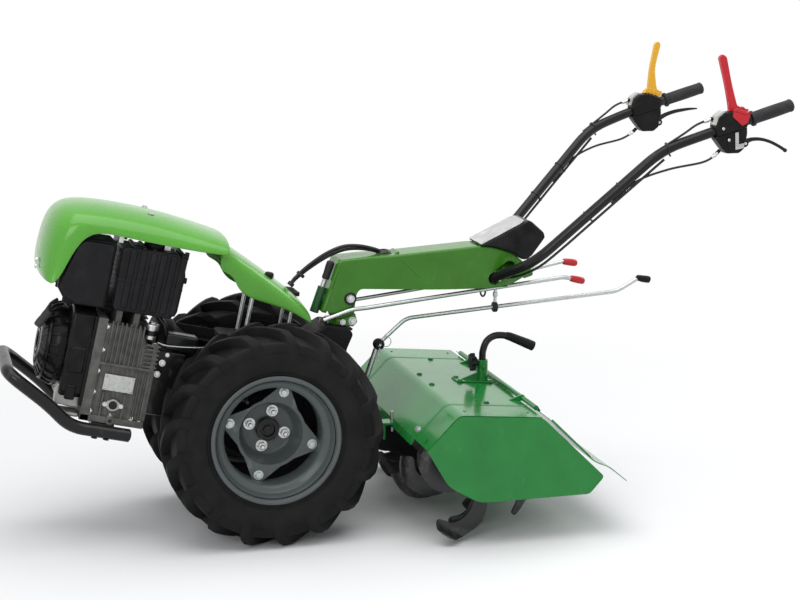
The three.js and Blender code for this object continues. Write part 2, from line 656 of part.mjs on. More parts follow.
place(
  machine, 'depth_bar',
  joined(
    sweptTube([...depthFoot, ...depthPath], BAR_RADIUS, 10),
    sweptTube(depthPath.slice(7), 14, 10),
  ),
  blackPaint,
);

// Rotor: one shaft with three flanges a side, four curved tines on each.
const FLANGE_PLACES = [105, 222, 335];
const BLADE_WIDTH = 45;
const polar = (r, degrees) => [-r * Math.sin(radians(degrees)), -r * Math.cos(radians(degrees))];
function tine(x, turn, bend) {
  const half = TINE_FACE / 2;
  const shank = [
    polar(42, -70), polar(108, -42), polar(TINE_RADIUS, -half), polar(TINE_RADIUS, half),
    polar(142, half + 14), polar(118, -8), polar(42, -30),
  ];
  const blade = [
    polar(TINE_RADIUS, -half), polar(TINE_RADIUS, half), polar(146, half + 18),
    polar(TINE_RADIUS - TINE_GAUGE, half - 1), polar(TINE_RADIUS - TINE_GAUGE, -half + 1),
  ];
  const [x0, x1] = bend > 0 ? [x, x + BLADE_WIDTH] : [x - BLADE_WIDTH, x];
  const flat = slab(shank, x - TINE_GAUGE / 2, x + TINE_GAUGE / 2);
  return flat.add(slab(blade, x0, x1)).rotate([-turn, 0, 0]);
}
function rotorSolid() {
  let rotor = turned([[-350, 0], [-350, ROTOR_SHAFT], [350, ROTOR_SHAFT], [350, 0]], SHAFT_SIDES);
  for (const sign of [1, -1]) {
    FLANGE_PLACES.forEach((place, row) => {
      const x = sign * place;
      rotor = rotor.add(turned([[x - 9, 0], [x - 9, 52], [x + 9, 52], [x + 9, 0]], 16));
      for (let i = 0; i < 4; i += 1) {
        const bend = (i % 2 === 0 ? 1 : -1) * sign;
        rotor = rotor.add(tine(x, 90 * i + TINE_STEP * (row - 1), bend));
      }
    });
  }
  return rotor;
}
const rotor = new THREE.Group();
rotor.position.set(0, ROTOR_Y, ROTOR_HEIGHT);
machine.add(rotor);
place(rotor, 'tine_rotor', rotorSolid(), blackPaint);

// ---------------------------------------------------------------- handlebar swivel bracket
// Measured from a level that lies BAR_DATUM below the axle, so that it rises with larger wheels.

const BAR_DATUM = 285.925;
const bar = new THREE.Group();
bar.position.set(0, 0, AXLE_HEIGHT - BAR_DATUM);
machine.add(bar);

const SWING_Y = 160;            // the swing axis, in the leaning tractor's frame
const PIVOT = [248, 597];       // the height pivot bolt
const PIVOT_RADIUS = 8;
const BRACKET_HALF = 40;
const swivelDisc = turnedAboutZ([[0, 0], [0, 36], [11, 36], [11, 0]], 32)
  .translate([0, SWING_Y, CASE_TOP + GAP]).rotate([-LEAN, 0, 0]).translate([0, 0, BAR_DATUM]);
const bracketPost = slab([
  [204, 538], [248, 527], [262, 545], [268, 592], [262, 610], [248, 616], [234, 612], [214, 580],
], -BRACKET_HALF, BRACKET_HALF);
const pivotBolt = joined(
  rod([-COLUMN_HALF - 4, ...PIVOT], [COLUMN_HALF + 4, ...PIVOT], PIVOT_RADIUS, 20),
  rod([-COLUMN_HALF - 9, ...PIVOT], [-COLUMN_HALF - GAP, ...PIVOT], 14, 6),
  rod([COLUMN_HALF + GAP, ...PIVOT], [COLUMN_HALF + 9, ...PIVOT], 14, 6),
);
const swivelFloor = block(-60, 60, 0, 400, CASE_TOP - 100, CASE_TOP + GAP)
  .rotate([-LEAN, 0, 0]).translate([0, 0, BAR_DATUM]);
place(
  bar, 'swivel_bracket',
  joined(swivelDisc, cut(bracketPost, swivelFloor), pivotBolt),
  columnGreen,
);

// ---------------------------------------------------------------- handlebar

const columnOutline = [
  [219, 701], [169, 564], [206, 554], [235, 559], [256, 583], [271, 622], [502, 608], [661, 605],
  [762, 634], [755, 654], [700, 698], [647, 717], [607, 722], [364, 707], [294, 706],
];
const columnInside = [
  [222.5, 698], [172, 562], [206, 500], [800, 500], [800, 600], [770, 634], [756, 650], [698, 694.5],
  [646, 714], [607, 719], [364, 704], [294, 703],
];
const tubeSide = [
  [20, 635.7, 621.3], [50, 654, 636], [160, 721, 690], [263, 1035, 992], [283, 1167, 1037], [282, 1385, 1100],
];
const tubeTip = new THREE.Vector3(...tubeSide.at(-1));
const tubeRun = tubeTip.clone().sub(new THREE.Vector3(...tubeSide.at(-2))).normalize();
const tubeSolid = (radius, beyond) => bentTube(
  [...tubeSide.slice(0, -1), tubeTip.clone().addScaledVector(tubeRun, beyond).toArray()], radius, 55, 10, 3,
);
const leftTube = tubeSolid(BAR_TUBE, 0);
const leftTubeSpace = tubeSolid(BAR_TUBE + GAP, GAP);
const cablePoints = [
  [0, 98, 634], [0, 112, 650], [0, 146, 676], [0, 194, 705], [0, 240, 722], [0, 280, 724], [0, 320, 717],
  [0, 352, 706], [0, 380, 690],
];
const CABLE_BUNDLE = 6;
const cableTube = (radius) => sweptTube(smoothPath(cablePoints, 16), radius, 8);
const gearPath = [
  [62, 172, 545], [60, 250, 570], [54, 285, 570], [33, 500, 587], [33, 854, 622], [33, 889, 614],
];
const powerPath = [[0, 275, 584], [0, 390, 597], [0, 780, 643], [0, 872, 662]];
const shiftRod = (path, radius) => bentTube(path, radius, 20, 8, 2);
const hangerPlate = joined(
  block(-COLUMN_HALF + 1, COLUMN_HALF - 1, 650, 688, 605.5, 609),
  block(-9, 9, 664, 672, 608, 640),
);
const boltSpace = rod([-80, ...PIVOT], [80, ...PIVOT], PIVOT_RADIUS + GAP, 20);
place(
  bar, 'handlebar_column',
  cut(
    joined(
      cut(
        slab(columnOutline, -COLUMN_HALF, COLUMN_HALF),
        slab(columnInside, -COLUMN_HALF + SHEET, COLUMN_HALF - SHEET),
      ),
      hangerPlate,
    ),
    boltSpace, leftTubeSpace, leftTubeSpace.mirror([1, 0, 0]), cableTube(CABLE_BUNDLE + GAP),
    shiftRod(gearPath, ROD_RADIUS + GAP), shiftRod(powerPath, ROD_RADIUS - 1 + GAP),
  ),
  columnGreen,
);
place(
  bar, 'control_console',
  slab([
    [606, 722 + 3 * GAP], [648, 717 + 2 * GAP], [701, 698 + 2 * GAP], [724, 680], [740, 680],
    [754, 691], [790, 738], [786, 752], [750, 786], [740, 788], [640, 740],
  ], -57, 57),
  blackPlastic,
);
place(bar, 'control_cables', cableTube(CABLE_BUNDLE), blackRubber);
const LOCK_TUBE = 12;
const LOCK_X = 22;
place(
  bar, 'swing_lock',
  joined(
    rod([LOCK_X, 154.8, 561], [LOCK_X, 179, 628], LOCK_TUBE, 16),
    rod([LOCK_X, 178, 625], [LOCK_X, 187, 650], 5, 12),
    rod([LOCK_X, 186, 648], [LOCK_X, 204, 697], 10, 16),
  ),
  columnGreen,
);

const gripStart = [283, 1277, 1068.8];
const GRIP_RADIUS = 17;
// The left lever hangs away from its grip, and the right one lies closer to it.
const handLeverPaths = {
  left: [
    [283, 1254, 1006], [283, 1275, 1013], [283, 1305, 1013], [283, 1340, 1002], [283, 1376, 981],
  ],
  right: [
    [283, 1254, 1011], [283, 1275, 1024], [283, 1305, 1033.5], [283, 1340, 1039], [283, 1376, 1040],
  ],
};
// The left switch lever leans forwards, and the right one stands nearly upright.
const switchBlades = {
  left: [
    [1240, 1100], [1228, 1106], [1212, 1158], [1194, 1232], [1184, 1238], [1174, 1230], [1194, 1158],
    [1206, 1108],
  ],
  right: [
    [1254, 1099], [1245, 1106], [1239, 1158], [1255, 1230], [1246, 1238], [1236, 1232], [1222, 1158],
    [1220, 1108],
  ],
};
const handleShapes = {
  control_block: () => cut(
    slab([
      [1163, 1062], [1172, 1080], [1188, 1087], [1218, 1089], [1254, 1077], [1258, 1040], [1252, 992],
      [1235, 979], [1200, 979], [1180, 1000], [1166, 1036],
    ], GRIP_HALF_SPACING - 21, GRIP_HALF_SPACING + 21),
    leftTubeSpace,
  ),
  hand_grip: () => {
    const beyond = [282, 1389, 1101.2];
    return cut(rod(gripStart, beyond, GRIP_RADIUS, 16), leftTubeSpace);
  },
  hand_lever: (side) => sweptTube(
    smoothPath(handLeverPaths[side], 8), 5.5, 8,
  ).subtract(block(240, 320, 1200, 1255 + GAP, 900, 1100)),
  switch_lever: (side) => slab([
    [1206, 1089.5], [1220, 1088.8 + GAP], [1255, 1077 + GAP], [1264, 1094], ...switchBlades[side],
  ], GRIP_HALF_SPACING - 8, GRIP_HALF_SPACING + 8),
};
const CABLE_RADIUS = 3;
const switchCableRoute = [[283, 1158, 1071], [281, 1120, 1056], [276, 1085, 1032], [262, 1015, 988]];
// From the control block's lower front edge to the tube's underside, where it is tied.
const leverCableRoute = [
  [283, 1189.6, 989.1], [283, 1176, 976], [283, 1140, 958], [268, 1050, 940], [242, 971, 907.5],
  [222.2, 911, 849.8],
];
const handleFinish = {
  control_block: blackPlastic, hand_grip: blackRubber, hand_lever: blackPaint, switch_lever: redPlastic,
};
for (const [side, sign] of [['left', 1], ['right', -1]]) {
  const handed = (solid) => (sign > 0 ? solid : solid.mirror([1, 0, 0]));
  place(bar, `handlebar_tube_${side}`, handed(leftTube), blackPaint);
  for (const [piece, shape] of Object.entries(handleShapes)) {
    const material = piece === 'switch_lever' && side === 'right' ? yellowPlastic : handleFinish[piece];
    place(bar, `${piece}_${side}`, handed(shape(side)), material);
  }
  const leverCable = cut(sweptTube(smoothPath(leverCableRoute, 14), CABLE_RADIUS, 8), leftTubeSpace);
  const switchCable = cut(sweptTube(smoothPath(switchCableRoute, 10), CABLE_RADIUS, 8), leftTubeSpace);
  place(bar, `lever_cable_${side}`, handed(leverCable), blackRubber);
  place(bar, `switch_cable_${side}`, handed(switchCable), blackRubber);
}

// Shift rods with their plastic grips, hung under the column.
place(
  bar, 'gear_rod',
  joined(
    shiftRod(gearPath, ROD_RADIUS),
    rod([33, 872, 618], [33, 912, 608], 10, 12),
  ),
  zincPlate,
);
place(
  bar, 'power_take_off_rod',
  joined(
    shiftRod(powerPath, ROD_RADIUS - 1),
    rod([0, 862, 660], [0, 902, 653], 10, 12),
  ),
  zincPlate,
);
const couplingPath = [
  [0, 305, 372], [0, 335, 457], [0, 414, 525], [0, 665, 543], [0, 1023, 568], [0, 1086, 602], [0, 1118, 596],
];
place(
  bar, 'coupling_rod',
  joined(bentTube(couplingPath, ROD_RADIUS, 20, 8, 2), rod([0, 1078, 599], [0, 1122, 595], 10, 12)),
  zincPlate,
);
const hangerEye = cut(
  joined(rod([0, 660, 543], [0, 672, 543], 14, 16), rod([0, 666, 552], [0, 668, 605.5 - GAP], 5, 12)),
  bentTube(couplingPath, ROD_RADIUS + GAP, 20, 8, 2),
);
place(bar, 'rod_hanger', hangerEye, zincPlate);

// ---------------------------------------------------------------- placing

// The whole machine stands with the middle of its box over the origin.
const group = new THREE.Group();
group.add(machine);
machine.updateMatrixWorld(true);
const bounds = new THREE.Box3().setFromObject(machine, true);
machine.position.set(0, -(bounds.min.y + bounds.max.y) / 2, 0);

export default group;
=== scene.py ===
# A two-wheel walking tractor with its rotary tiller: what the eye sees, built round the packed
# frame. Each section takes one piece, or one group of like pieces, from its sizes to its finish.

from math import atan2, cos, pi, radians, sin

import bmesh
import bpy
from mathutils import Matrix, Vector


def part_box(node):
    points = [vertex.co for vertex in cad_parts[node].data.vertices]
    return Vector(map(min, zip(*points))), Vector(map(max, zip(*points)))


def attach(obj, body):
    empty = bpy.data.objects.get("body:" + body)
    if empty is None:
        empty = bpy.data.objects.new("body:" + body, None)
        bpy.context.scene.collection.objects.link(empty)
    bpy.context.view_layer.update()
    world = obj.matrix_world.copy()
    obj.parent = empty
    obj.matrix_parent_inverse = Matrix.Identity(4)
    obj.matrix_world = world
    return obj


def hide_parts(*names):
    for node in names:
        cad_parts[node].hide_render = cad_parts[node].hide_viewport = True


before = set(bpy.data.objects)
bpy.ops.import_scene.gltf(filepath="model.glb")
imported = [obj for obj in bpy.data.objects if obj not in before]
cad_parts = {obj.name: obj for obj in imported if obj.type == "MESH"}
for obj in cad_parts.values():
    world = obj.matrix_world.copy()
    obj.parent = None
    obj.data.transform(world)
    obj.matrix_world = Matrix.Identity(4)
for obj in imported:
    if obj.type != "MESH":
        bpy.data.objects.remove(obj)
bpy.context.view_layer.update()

# ------------------------------------------------------------------ the places that all pieces use
# Pieces are drawn in millimetres, with X to the machine's left, Y to the rear and Z up from the
# ground, and with Y = 0 at the axle. The tractor's own castings and panels are drawn about the
# axle, and lean back with it. Both spaces are turned into the frame's metres here.

MM = 0.001
LEAN = radians(13.2)
tyre_low, tyre_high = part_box("tyre_left")
AXLE = Vector((0, (tyre_low.y + tyre_high.y) / 2, (tyre_low.z + tyre_high.z) / 2))
MACHINE = Matrix.Translation((0, AXLE.y, 0)) @ Matrix.Scale(MM, 4)
TRACTOR = Matrix.Translation(AXLE) @ Matrix.Rotation(-LEAN, 4, "X") @ Matrix.Scale(MM, 4)
MIRROR = Matrix.Scale(-1, 4, (1, 0, 0))
SIDES = (("left", 1), ("right", -1))
HANDED = {1: Matrix.Identity(4), -1: MIRROR}


# ------------------------------------------------------------------ studio
# A flat floor and a world that are seen plain white, three broad soft lamps, and the camera,
# which looks at the machine's left side from a little ahead of its axle.

CAMERA_PLACE = (4.706, AXLE.y - 0.902, 1.552)
CAMERA_RIGHT = Vector((0.266, 0.964, 0)).normalized()
CAMERA_BACK = Vector((0.945, -0.261, 0.196)).normalized()
CAMERA_LENS = 83.25
CAMERA_SENSOR = 36
CAMERA_SIGHT = 100

camera = bpy.data.objects.new("camera", bpy.data.cameras.new("camera"))
bpy.context.scene.collection.objects.link(camera)
camera_up = CAMERA_BACK.cross(CAMERA_RIGHT).normalized()
camera_right = camera_up.cross(CAMERA_BACK)
turn = Matrix((camera_right, camera_up, CAMERA_BACK)).transposed().to_4x4()
camera.matrix_world = Matrix.Translation(CAMERA_PLACE) @ turn
camera.data.lens = CAMERA_LENS
camera.data.sensor_width = CAMERA_SENSOR
camera.data.clip_end = CAMERA_SIGHT
bpy.context.scene.camera = camera
bpy.context.scene.view_settings.view_transform = "Standard"


class Value:
    """A number or colour in a material, which Python's own sums can be written with."""

    def __init__(self, finish, socket):
        self.finish, self.socket = finish, socket

    def math(self, operation, *others):
        node = self.finish.add("ShaderNodeMath", {"operation": operation}, [self, *others])
        return node["Value"]

    def __add__(self, other):
        return self.math("ADD", other)

    def __mul__(self, other):
        return self.math("MULTIPLY", other)

    def __sub__(self, other):
        return self.math("SUBTRACT", other)

    def __rsub__(self, other):
        return (self * -1) + other

    __radd__, __rmul__ = __add__, __mul__

    def between(self, low, high):
        """0 below low, 1 above high, and a straight climb between."""
        sockets = {"Value": self, "From Min": low, "From Max": high}
        return self.finish.add("ShaderNodeMapRange", {"clamp": True}, sockets)["Result"]


class Finish:
    """A material, or a world, that is being wired: add() makes a node, and end() the surface."""

    def __init__(self, name, kind="materials"):
        self.material = getattr(bpy.data, kind).new(name)
        self.material.use_nodes = True
        self.tree = self.material.node_tree
        self.tree.nodes.clear()

    def add(self, kind, settings=None, sockets=None):
        node = self.tree.nodes.new(kind)
        for key, value in (settings or {}).items():
            if key == "stops":
                ramp = node.color_ramp.elements
                while len(ramp) < len(value):
                    ramp.new(0.5)
                for stop, (place, colour) in zip(ramp, value):
                    stop.position, stop.color = place, colour
            else:
                setattr(node, key, value)
        pairs = enumerate(sockets) if isinstance(sockets, list) else (sockets or {}).items()
        for key, value in pairs:
            if isinstance(value, Value):
                self.tree.links.new(value.socket, node.inputs[key])
            else:
                node.inputs[key].default_value = value
        return {output.name: Value(self, output) for output in node.outputs if output.enabled}

    def place(self):
        return self.add("ShaderNodeTexCoord")["Object"]

    def noise(self, scale, detail=3, stretch=(1, 1, 1)):
        """Noise with features of about 1/scale metres, drawn out along an axis by stretch."""
        spread = self.add("ShaderNodeMapping", None, {"Vector": self.place(), "Scale": stretch})
        sockets = {"Vector": spread["Vector"], "Scale": scale, "Detail": detail}
        return self.add("ShaderNodeTexNoise", None, sockets)["Fac"]

    def blend(self, share, first, second):
        sockets = {0: share, 6: first, 7: second}
        node = self.add("ShaderNodeMix", {"data_type": "RGBA"}, sockets)
        return next(value for value in node.values() if value.socket.type == "RGBA")

    def vector(self, operation, *inputs):
        return self.add("ShaderNodeVectorMath", {"operation": operation}, [*inputs])

    def bump(self, height, distance, strength=1.0):
        sockets = {"Height": height, "Distance": distance, "Strength": strength}
        return self.add("ShaderNodeBump", None, sockets)["Normal"]

    def end(self, **surface):
        named = {key.replace("_", " "): value for key, value in surface.items()}
        shader = self.add("ShaderNodeBsdfPrincipled", None, named)["BSDF"]
        self.add("ShaderNodeOutputMaterial", None, {"Surface": shader})
        return self.material


def seen_plainly(finish):
    """1 where it is seen, straight, mirrored or through glass, and 0 in the light that it gives."""
    rays = finish.add("ShaderNodeLightPath")
    mirrored = rays["Is Glossy Ray"].math("MAXIMUM", rays["Is Transmission Ray"])
    return rays["Is Camera Ray"].math("MAXIMUM", mirrored)


PAPER = (0.88, 0.88, 0.88, 1)
WHITE = (1, 1, 1, 1)
STUDIO_GREY = (0.50, 0.51, 0.53, 1)
PAPER_ENDS, WHITE_STARTS = 1.0, 2.4


def pale_stage(name):
    """Pale paper near the machine, which takes its shadow, going over to plain white far from it."""
    finish = Finish(name)
    away = finish.vector("LENGTH", finish.place())["Value"]
    paper = finish.add("ShaderNodeBsdfDiffuse", None, {"Color": PAPER})["BSDF"]
    white = finish.add("ShaderNodeEmission", None, {"Color": WHITE})["Emission"]
    share = seen_plainly(finish) * away.between(PAPER_ENDS, WHITE_STARTS)
    mixed = finish.add("ShaderNodeMixShader", None, [share, paper, white])["Shader"]
    finish.add("ShaderNodeOutputMaterial", None, {"Surface": mixed})
    return finish.material


FLOOR_HALF = 14
stage_mesh = bmesh.new()
bmesh.ops.create_grid(stage_mesh, x_segments=1, y_segments=1, size=FLOOR_HALF)
floor_data = bpy.data.meshes.new("floor")
stage_mesh.to_mesh(floor_data)
stage_mesh.free()
floor = bpy.data.objects.new("floor", floor_data)
bpy.context.scene.collection.objects.link(floor)
floor_data.materials.append(pale_stage("floor_paper"))


def white_studio():
    """White wherever it is seen, and a softer grey in the light that it gives."""
    finish = Finish("studio", "worlds")
    given = finish.add("ShaderNodeBackground", None, {"Color": STUDIO_GREY})["Background"]
    seen = finish.add("ShaderNodeBackground", None, {"Color": WHITE})["Background"]
    mixed = finish.add("ShaderNodeMixShader", None, [seen_plainly(finish), given, seen])["Shader"]
    finish.add("ShaderNodeOutputWorld", None, {"Surface": mixed})
    return finish.material


bpy.context.scene.world = white_studio()


MIDDLE = Vector((0, 0, 0.5))
for name, place, size, watts in (
    ("overhead_softbox", (0.6, -0.3, 3.6), 3.5, 90),
    ("left_softbox", (3.6, -2.6, 2.4), 2.0, 45),
    ("rear_softbox", (-1.5, 3.4, 2.4), 2.0, 45),
):
    light = bpy.data.lights.new(name, "AREA")
    light.shape, light.size, light.energy = "SQUARE", size, watts
    softbox = bpy.data.objects.new(name, light)
    softbox.location = place
    softbox.rotation_euler = (MIDDLE - Vector(place)).to_track_quat("-Z", "Y").to_euler()
    bpy.context.scene.collection.objects.link(softbox)

# ------------------------------------------------------------------ tyres
# A pneumatic farm tyre: a moulded carcass with bead rings and thick chevron lugs that run from the
# middle of the tread over the shoulder. It sits on the rim and stands for the plain CAD ring.

TRACK = 400
TYRE_RADIUS = 287.5
LUG_HEIGHT = 25
LUGS_A_SIDE = 17
LUG_SLANT = radians(21)
TYRE_STEPS = 96
WHEEL_SPACE = {
    side: MACHINE @ Matrix.Translation((sign * TRACK / 2, 0, AXLE.z / MM)) @ HANDED[sign]
    for side, sign in SIDES
}


def spun(bm, profile, axis="X", steps=48, place=(0, 0, 0)):
    """Turns a chain of (along, radius) points round an axis through place."""
    before = set(bm.verts)
    along = {"X": Vector((1, 0, 0)), "Y": Vector((0, 1, 0)), "Z": Vector((0, 0, 1))}[axis]
    out = Vector((0, 0, 1)) if axis != "Z" else Vector((1, 0, 0))
    points = [bm.verts.new(Vector(place) + along * a + out * r) for a, r in profile]
    chain = [bm.edges.new(pair) for pair in zip(points, points[1:])]
    bmesh.ops.spin(
        bm, geom=points + chain, cent=place, axis=along, angle=2 * pi, steps=steps, use_merge=True,
    )
    fresh = [v for v in bm.verts if v not in before]
    bmesh.ops.remove_doubles(bm, verts=fresh, dist=0.01)


def smooth_chain(points, steps):
    """More points along a smooth curve through the given ones, as (a, b) pairs."""
    curve = []
    last = len(points) - 1
    for i in range(last):
        p0, p1, p2, p3 = (Vector(points[max(0, min(last, i + k))]) for k in (-1, 0, 1, 2))
        for step in range(steps):
            t = step / steps
            a = 2 * p1 + (p2 - p0) * t + (2 * p0 - 5 * p1 + 4 * p2 - p3) * t * t
            curve.append((a + (3 * p1 - p0 - 3 * p2 + p3) * t ** 3) / 2)
    return curve + [Vector(points[-1])]


def finished(name, bm, space, body, material, stands_for=(), crease=35, tidy=True):
    """Closes a piece: into the frame, normals out, edges over crease kept sharp, on its body."""
    bmesh.ops.transform(bm, matrix=space, verts=bm.verts)
    if tidy:
        bmesh.ops.recalc_face_normals(bm, faces=bm.faces)
    data = bpy.data.meshes.new(name)
    bm.to_mesh(data)
    bm.free()
    data.shade_smooth()
    data.set_sharp_from_angle(angle=radians(crease))
    data.materials.append(material)
    piece = bpy.data.objects.new(name, data)
    bpy.context.scene.collection.objects.link(piece)
    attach(piece, body)
    if stands_for:
        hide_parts(*stands_for)
    if tidy:
        piece.modifiers.new("flat_faces", "WEIGHTED_NORMAL").keep_sharp = True
    return piece


def crossed(x):
    """The tread's radius at a distance x from the tyre's middle plane, without its lugs."""
    flat = TYRE_RADIUS - LUG_HEIGHT
    return flat - 9 * (abs(x) / 72) ** 3


def lug_top(x):
    """The lugs' outer radius there: a little inside the tyre's, crowned, and cut off outwards."""
    return TYRE_RADIUS - 1.6 - 3 * (abs(x) / 60) ** 2 - max(0, abs(x) - 62) * 1.15


def tyre_mesh():
    bm = bmesh.new()
    wall = smooth_chain([
        (68, 153), (69.5, 166), (71, 172), (77, 184), (81, 204), (82, 222), (80, 240), (76, 252), (70, 256),
    ], 4)
    outer = [*wall, *((x, crossed(x)) for x in (64, 52, 36, 18, 0))]
    inner = [(0, 247), (40, 244), (60, 234), (68, 215), (64, 180), (54, 153)]
    far_half = [(-x, r) for x, r in inner[1:] + outer]
    spun(bm, outer[::-1] + inner[::-1] + far_half, "X", TYRE_STEPS)
    for bead, height in ((176, 1.6), (181, 1.2), (232, 1.4)):
        skin = min(wall, key=lambda p: abs(p[1] - bead))[0]
        for sign in (1, -1):
            foot, crest = sign * (skin - 2), sign * (skin + height)
            profile = [(foot, bead - 2.5), (crest, bead - 1), (crest, bead + 1), (foot, bead + 2.5)]
            spun(bm, profile, "X", TYRE_STEPS)
    lug = lug_mesh()
    for i in range(2 * LUGS_A_SIDE):
        handed = HANDED[1 if i % 2 else -1]
        added(bm, lug, Matrix.Rotation(pi * i / LUGS_A_SIDE, 4, "X") @ handed, keep=True)
    lug.free()
    return bm


def added(bm, other, matrix=Matrix.Identity(4), keep=False):
    """Puts another bmesh into this one, moved by matrix, and frees it unless it is to be kept."""
    data = bpy.data.meshes.new("copied")
    other.to_mesh(data)
    data.transform(matrix)
    bm.from_mesh(data)
    bpy.data.meshes.remove(data)
    if not keep:
        other.free()


def edges_of(verts):
    """The edges at some verts, each once and always in the same order, as a set would not give."""
    return dict.fromkeys(e for v in verts for e in v.link_edges)


def bevelled(bm, edges, offset, segments=2, clamp=False):
    """Rounds the given edges."""
    bmesh.ops.bevel(
        bm, geom=edges, offset=offset, segments=segments, affect="EDGES", profile=0.5,
        clamp_overlap=clamp, material=-1,
    )


def lug_mesh():
    """One lug, drawn as a straight bar and then laid over the tread."""
    lug = bmesh.new()
    bmesh.ops.create_cube(lug, size=2)
    lengthwise = [e for e in lug.edges if abs(e.verts[0].co.x - e.verts[1].co.x) > 1]
    bmesh.ops.subdivide_edges(lug, edges=lengthwise, cuts=6, use_grid_fill=True)
    lug.normal_update()
    upper = [
        e for e in lug.edges
        if all(v.co.z > 0.9 for v in e.verts) and any(abs(f.normal.z) < 0.5 for f in e.link_faces)
    ]
    bevelled(lug, upper, 0.22)
    for vert in lug.verts:
        along, across, up = (vert.co.x + 1) / 2, vert.co.y, (vert.co.z + 1) / 2
        x = -7 + 90 * along
        base = crossed(min(x, 70)) - 4 - max(0, x - 70) * 2.2
        radius = base + (lug_top(x) - base) * up
        width = (13 - 3.5 * up) * (1.0 + 0.35 * along)
        bend = LUG_SLANT * (max(along, 0) ** 0.85) + across * width / TYRE_RADIUS
        vert.co = (x, radius * sin(bend), radius * cos(bend))
    return lug


def tyre_rubber():
    """Black rubber, a little grey with dust in its hollows, with a fine moulded grain."""
    finish = Finish("tyre_rubber")
    dust = finish.noise(18, 5).between(0.35, 0.75)
    colour = finish.blend(dust, (0.005, 0.005, 0.005, 1), (0.013, 0.013, 0.0125, 1))
    grain = finish.noise(900, 2)
    roughness = 0.52 + 0.18 * dust
    return finish.end(
        Base_Color=colour, Roughness=roughness, Normal=finish.bump(grain, 0.0004, 0.35),
        Specular_IOR_Level=0.14,
    )


tyre_finish = tyre_rubber()
for side, space in WHEEL_SPACE.items():
    finished(
        f"lugged_tyre_{side}", tyre_mesh(), space, f"wheel_{side}", tyre_finish, [f"tyre_{side}"],
    )

# ------------------------------------------------------------------ wheel rims and discs
# A rolled steel rim with a stepped flange, and a deep pressed dish bolted inside it by four ears,
# all in satin grey enamel. The dish holds four nuts round a black hub cap.

RIM_STEPS = 96
EAR_TURN = radians(18)
EAR_BOLT_RADIUS = 113
NUT_RADIUS = 48
DISH_MOUTH = 85
DISH_DEPTH = 62
DISC_GAUGE = 4
DISC_STEPS = 120
DISH_FLOOR = DISC_GAUGE - DISH_DEPTH
HUB_HOLE = 24
VALVE_TURN = radians(-35)
VALVE_RADIUS = 122


def hexagon_bolt(bm, place, along, across, height, washer=1.0):
    """A hexagon head on a washer, standing out from place."""
    along = Vector(along).normalized()
    turned = along.to_track_quat("Z", "X").to_matrix().to_4x4()
    for low, high, radius, segments, soft in (
        (0, 1.6, across * 0.78 * washer, 24, 0.4),
        (1.4, height, across / 2 / cos(pi / 6), 6, 0.12 * across),
    ):
        depth = high - low
        where = Matrix.Translation(Vector(place) + along * (low + depth / 2)) @ turned
        made = bmesh.ops.create_cone(
            bm, cap_ends=True, segments=segments, radius1=radius, radius2=radius, depth=depth,
            matrix=where,
        )["verts"]
        rim_edges = [
            e for e in edges_of(made)
            if all((v.co - Vector(place)).dot(along) > low + depth * 0.9 for v in e.verts)
        ]
        bevelled(bm, rim_edges, soft)


def ear_radius(angle):
    """How far the pressed disc reaches at an angle from an ear's middle."""
    angle = abs((angle + pi / 4) % (pi / 2) - pi / 4)
    tip, foot = Vector((14, 126)), Vector((50, 76))
    ray = Vector((sin(angle), cos(angle)))
    edge = foot - tip
    reach = (tip.x * edge.y - tip.y * edge.x) / (ray.x * edge.y - ray.y * edge.x)
    return max(DISH_MOUTH + 6, min(127.5, reach))


def rim_mesh():
    bm = bmesh.new()
    face = smooth_chain([
        (69, 166), (71.5, 168.6), (74, 167), (75, 163), (73.5, 158.5), (69, 156), (63, 154.5), (58, 151),
        (54, 149), (48, 147.5), (42, 144), (36, 134), (30, 128.4), (22, 127), (0, 127),
    ], 3)
    back = [(0, 130), (22, 130.5), (32, 133), (40, 148), (46, 151.4), (66, 153), (69, 156)]
    far_half = [(-x, r) for x, r in face[-2::-1] + back[::-1]]
    spun(bm, [*face, *far_half, *back[1:], face[0]], "X", RIM_STEPS)
    return bm


def disc_mesh():
    """The pressed disc: a flat ring that reaches out to four ears, and the dish spun inside it."""
    bm = bmesh.new()
    outer, inner = [], []
    for i in range(DISC_STEPS):
        angle = 2 * pi * i / DISC_STEPS
        turned = angle + EAR_TURN
        for ring, radius in ((outer, ear_radius(angle)), (inner, DISH_MOUTH - 1)):
            ring.append(bm.verts.new((0, radius * sin(turned), radius * cos(turned))))
    rings = [bm.edges.new(pair) for ring in (outer, inner) for pair in zip(ring, ring[1:] + ring[:1])]
    bmesh.ops.bridge_loops(bm, edges=rings)
    thickened(bm, (-DISC_GAUGE, 0, 0))
    bowl = smooth_chain([
        (0, DISH_MOUTH + 3), (-0.3, DISH_MOUTH), (-4, DISH_MOUTH - 3), (-26, DISH_MOUTH - 7),
        (DISH_FLOOR + 12, DISH_MOUTH - 13), (DISH_FLOOR + 2, DISH_MOUTH - 20),
        (DISH_FLOOR, DISH_MOUTH - 30),
    ], 4)
    hole = [(DISH_FLOOR, HUB_HOLE), (DISH_FLOOR - DISC_GAUGE, HUB_HOLE)]
    back = [(x - DISC_GAUGE, r + 1) for x, r in reversed(bowl)]
    spun(bm, [*bowl, *hole, *back, bowl[0]], "X", RIM_STEPS)
    return bm


def thickened(bm, by):
    """Draws flat faces out into a plate."""
    grown = bmesh.ops.extrude_face_region(bm, geom=bm.faces[:])["geom"]
    far = [g for g in grown if isinstance(g, bmesh.types.BMVert)]
    bmesh.ops.translate(bm, verts=far, vec=by)


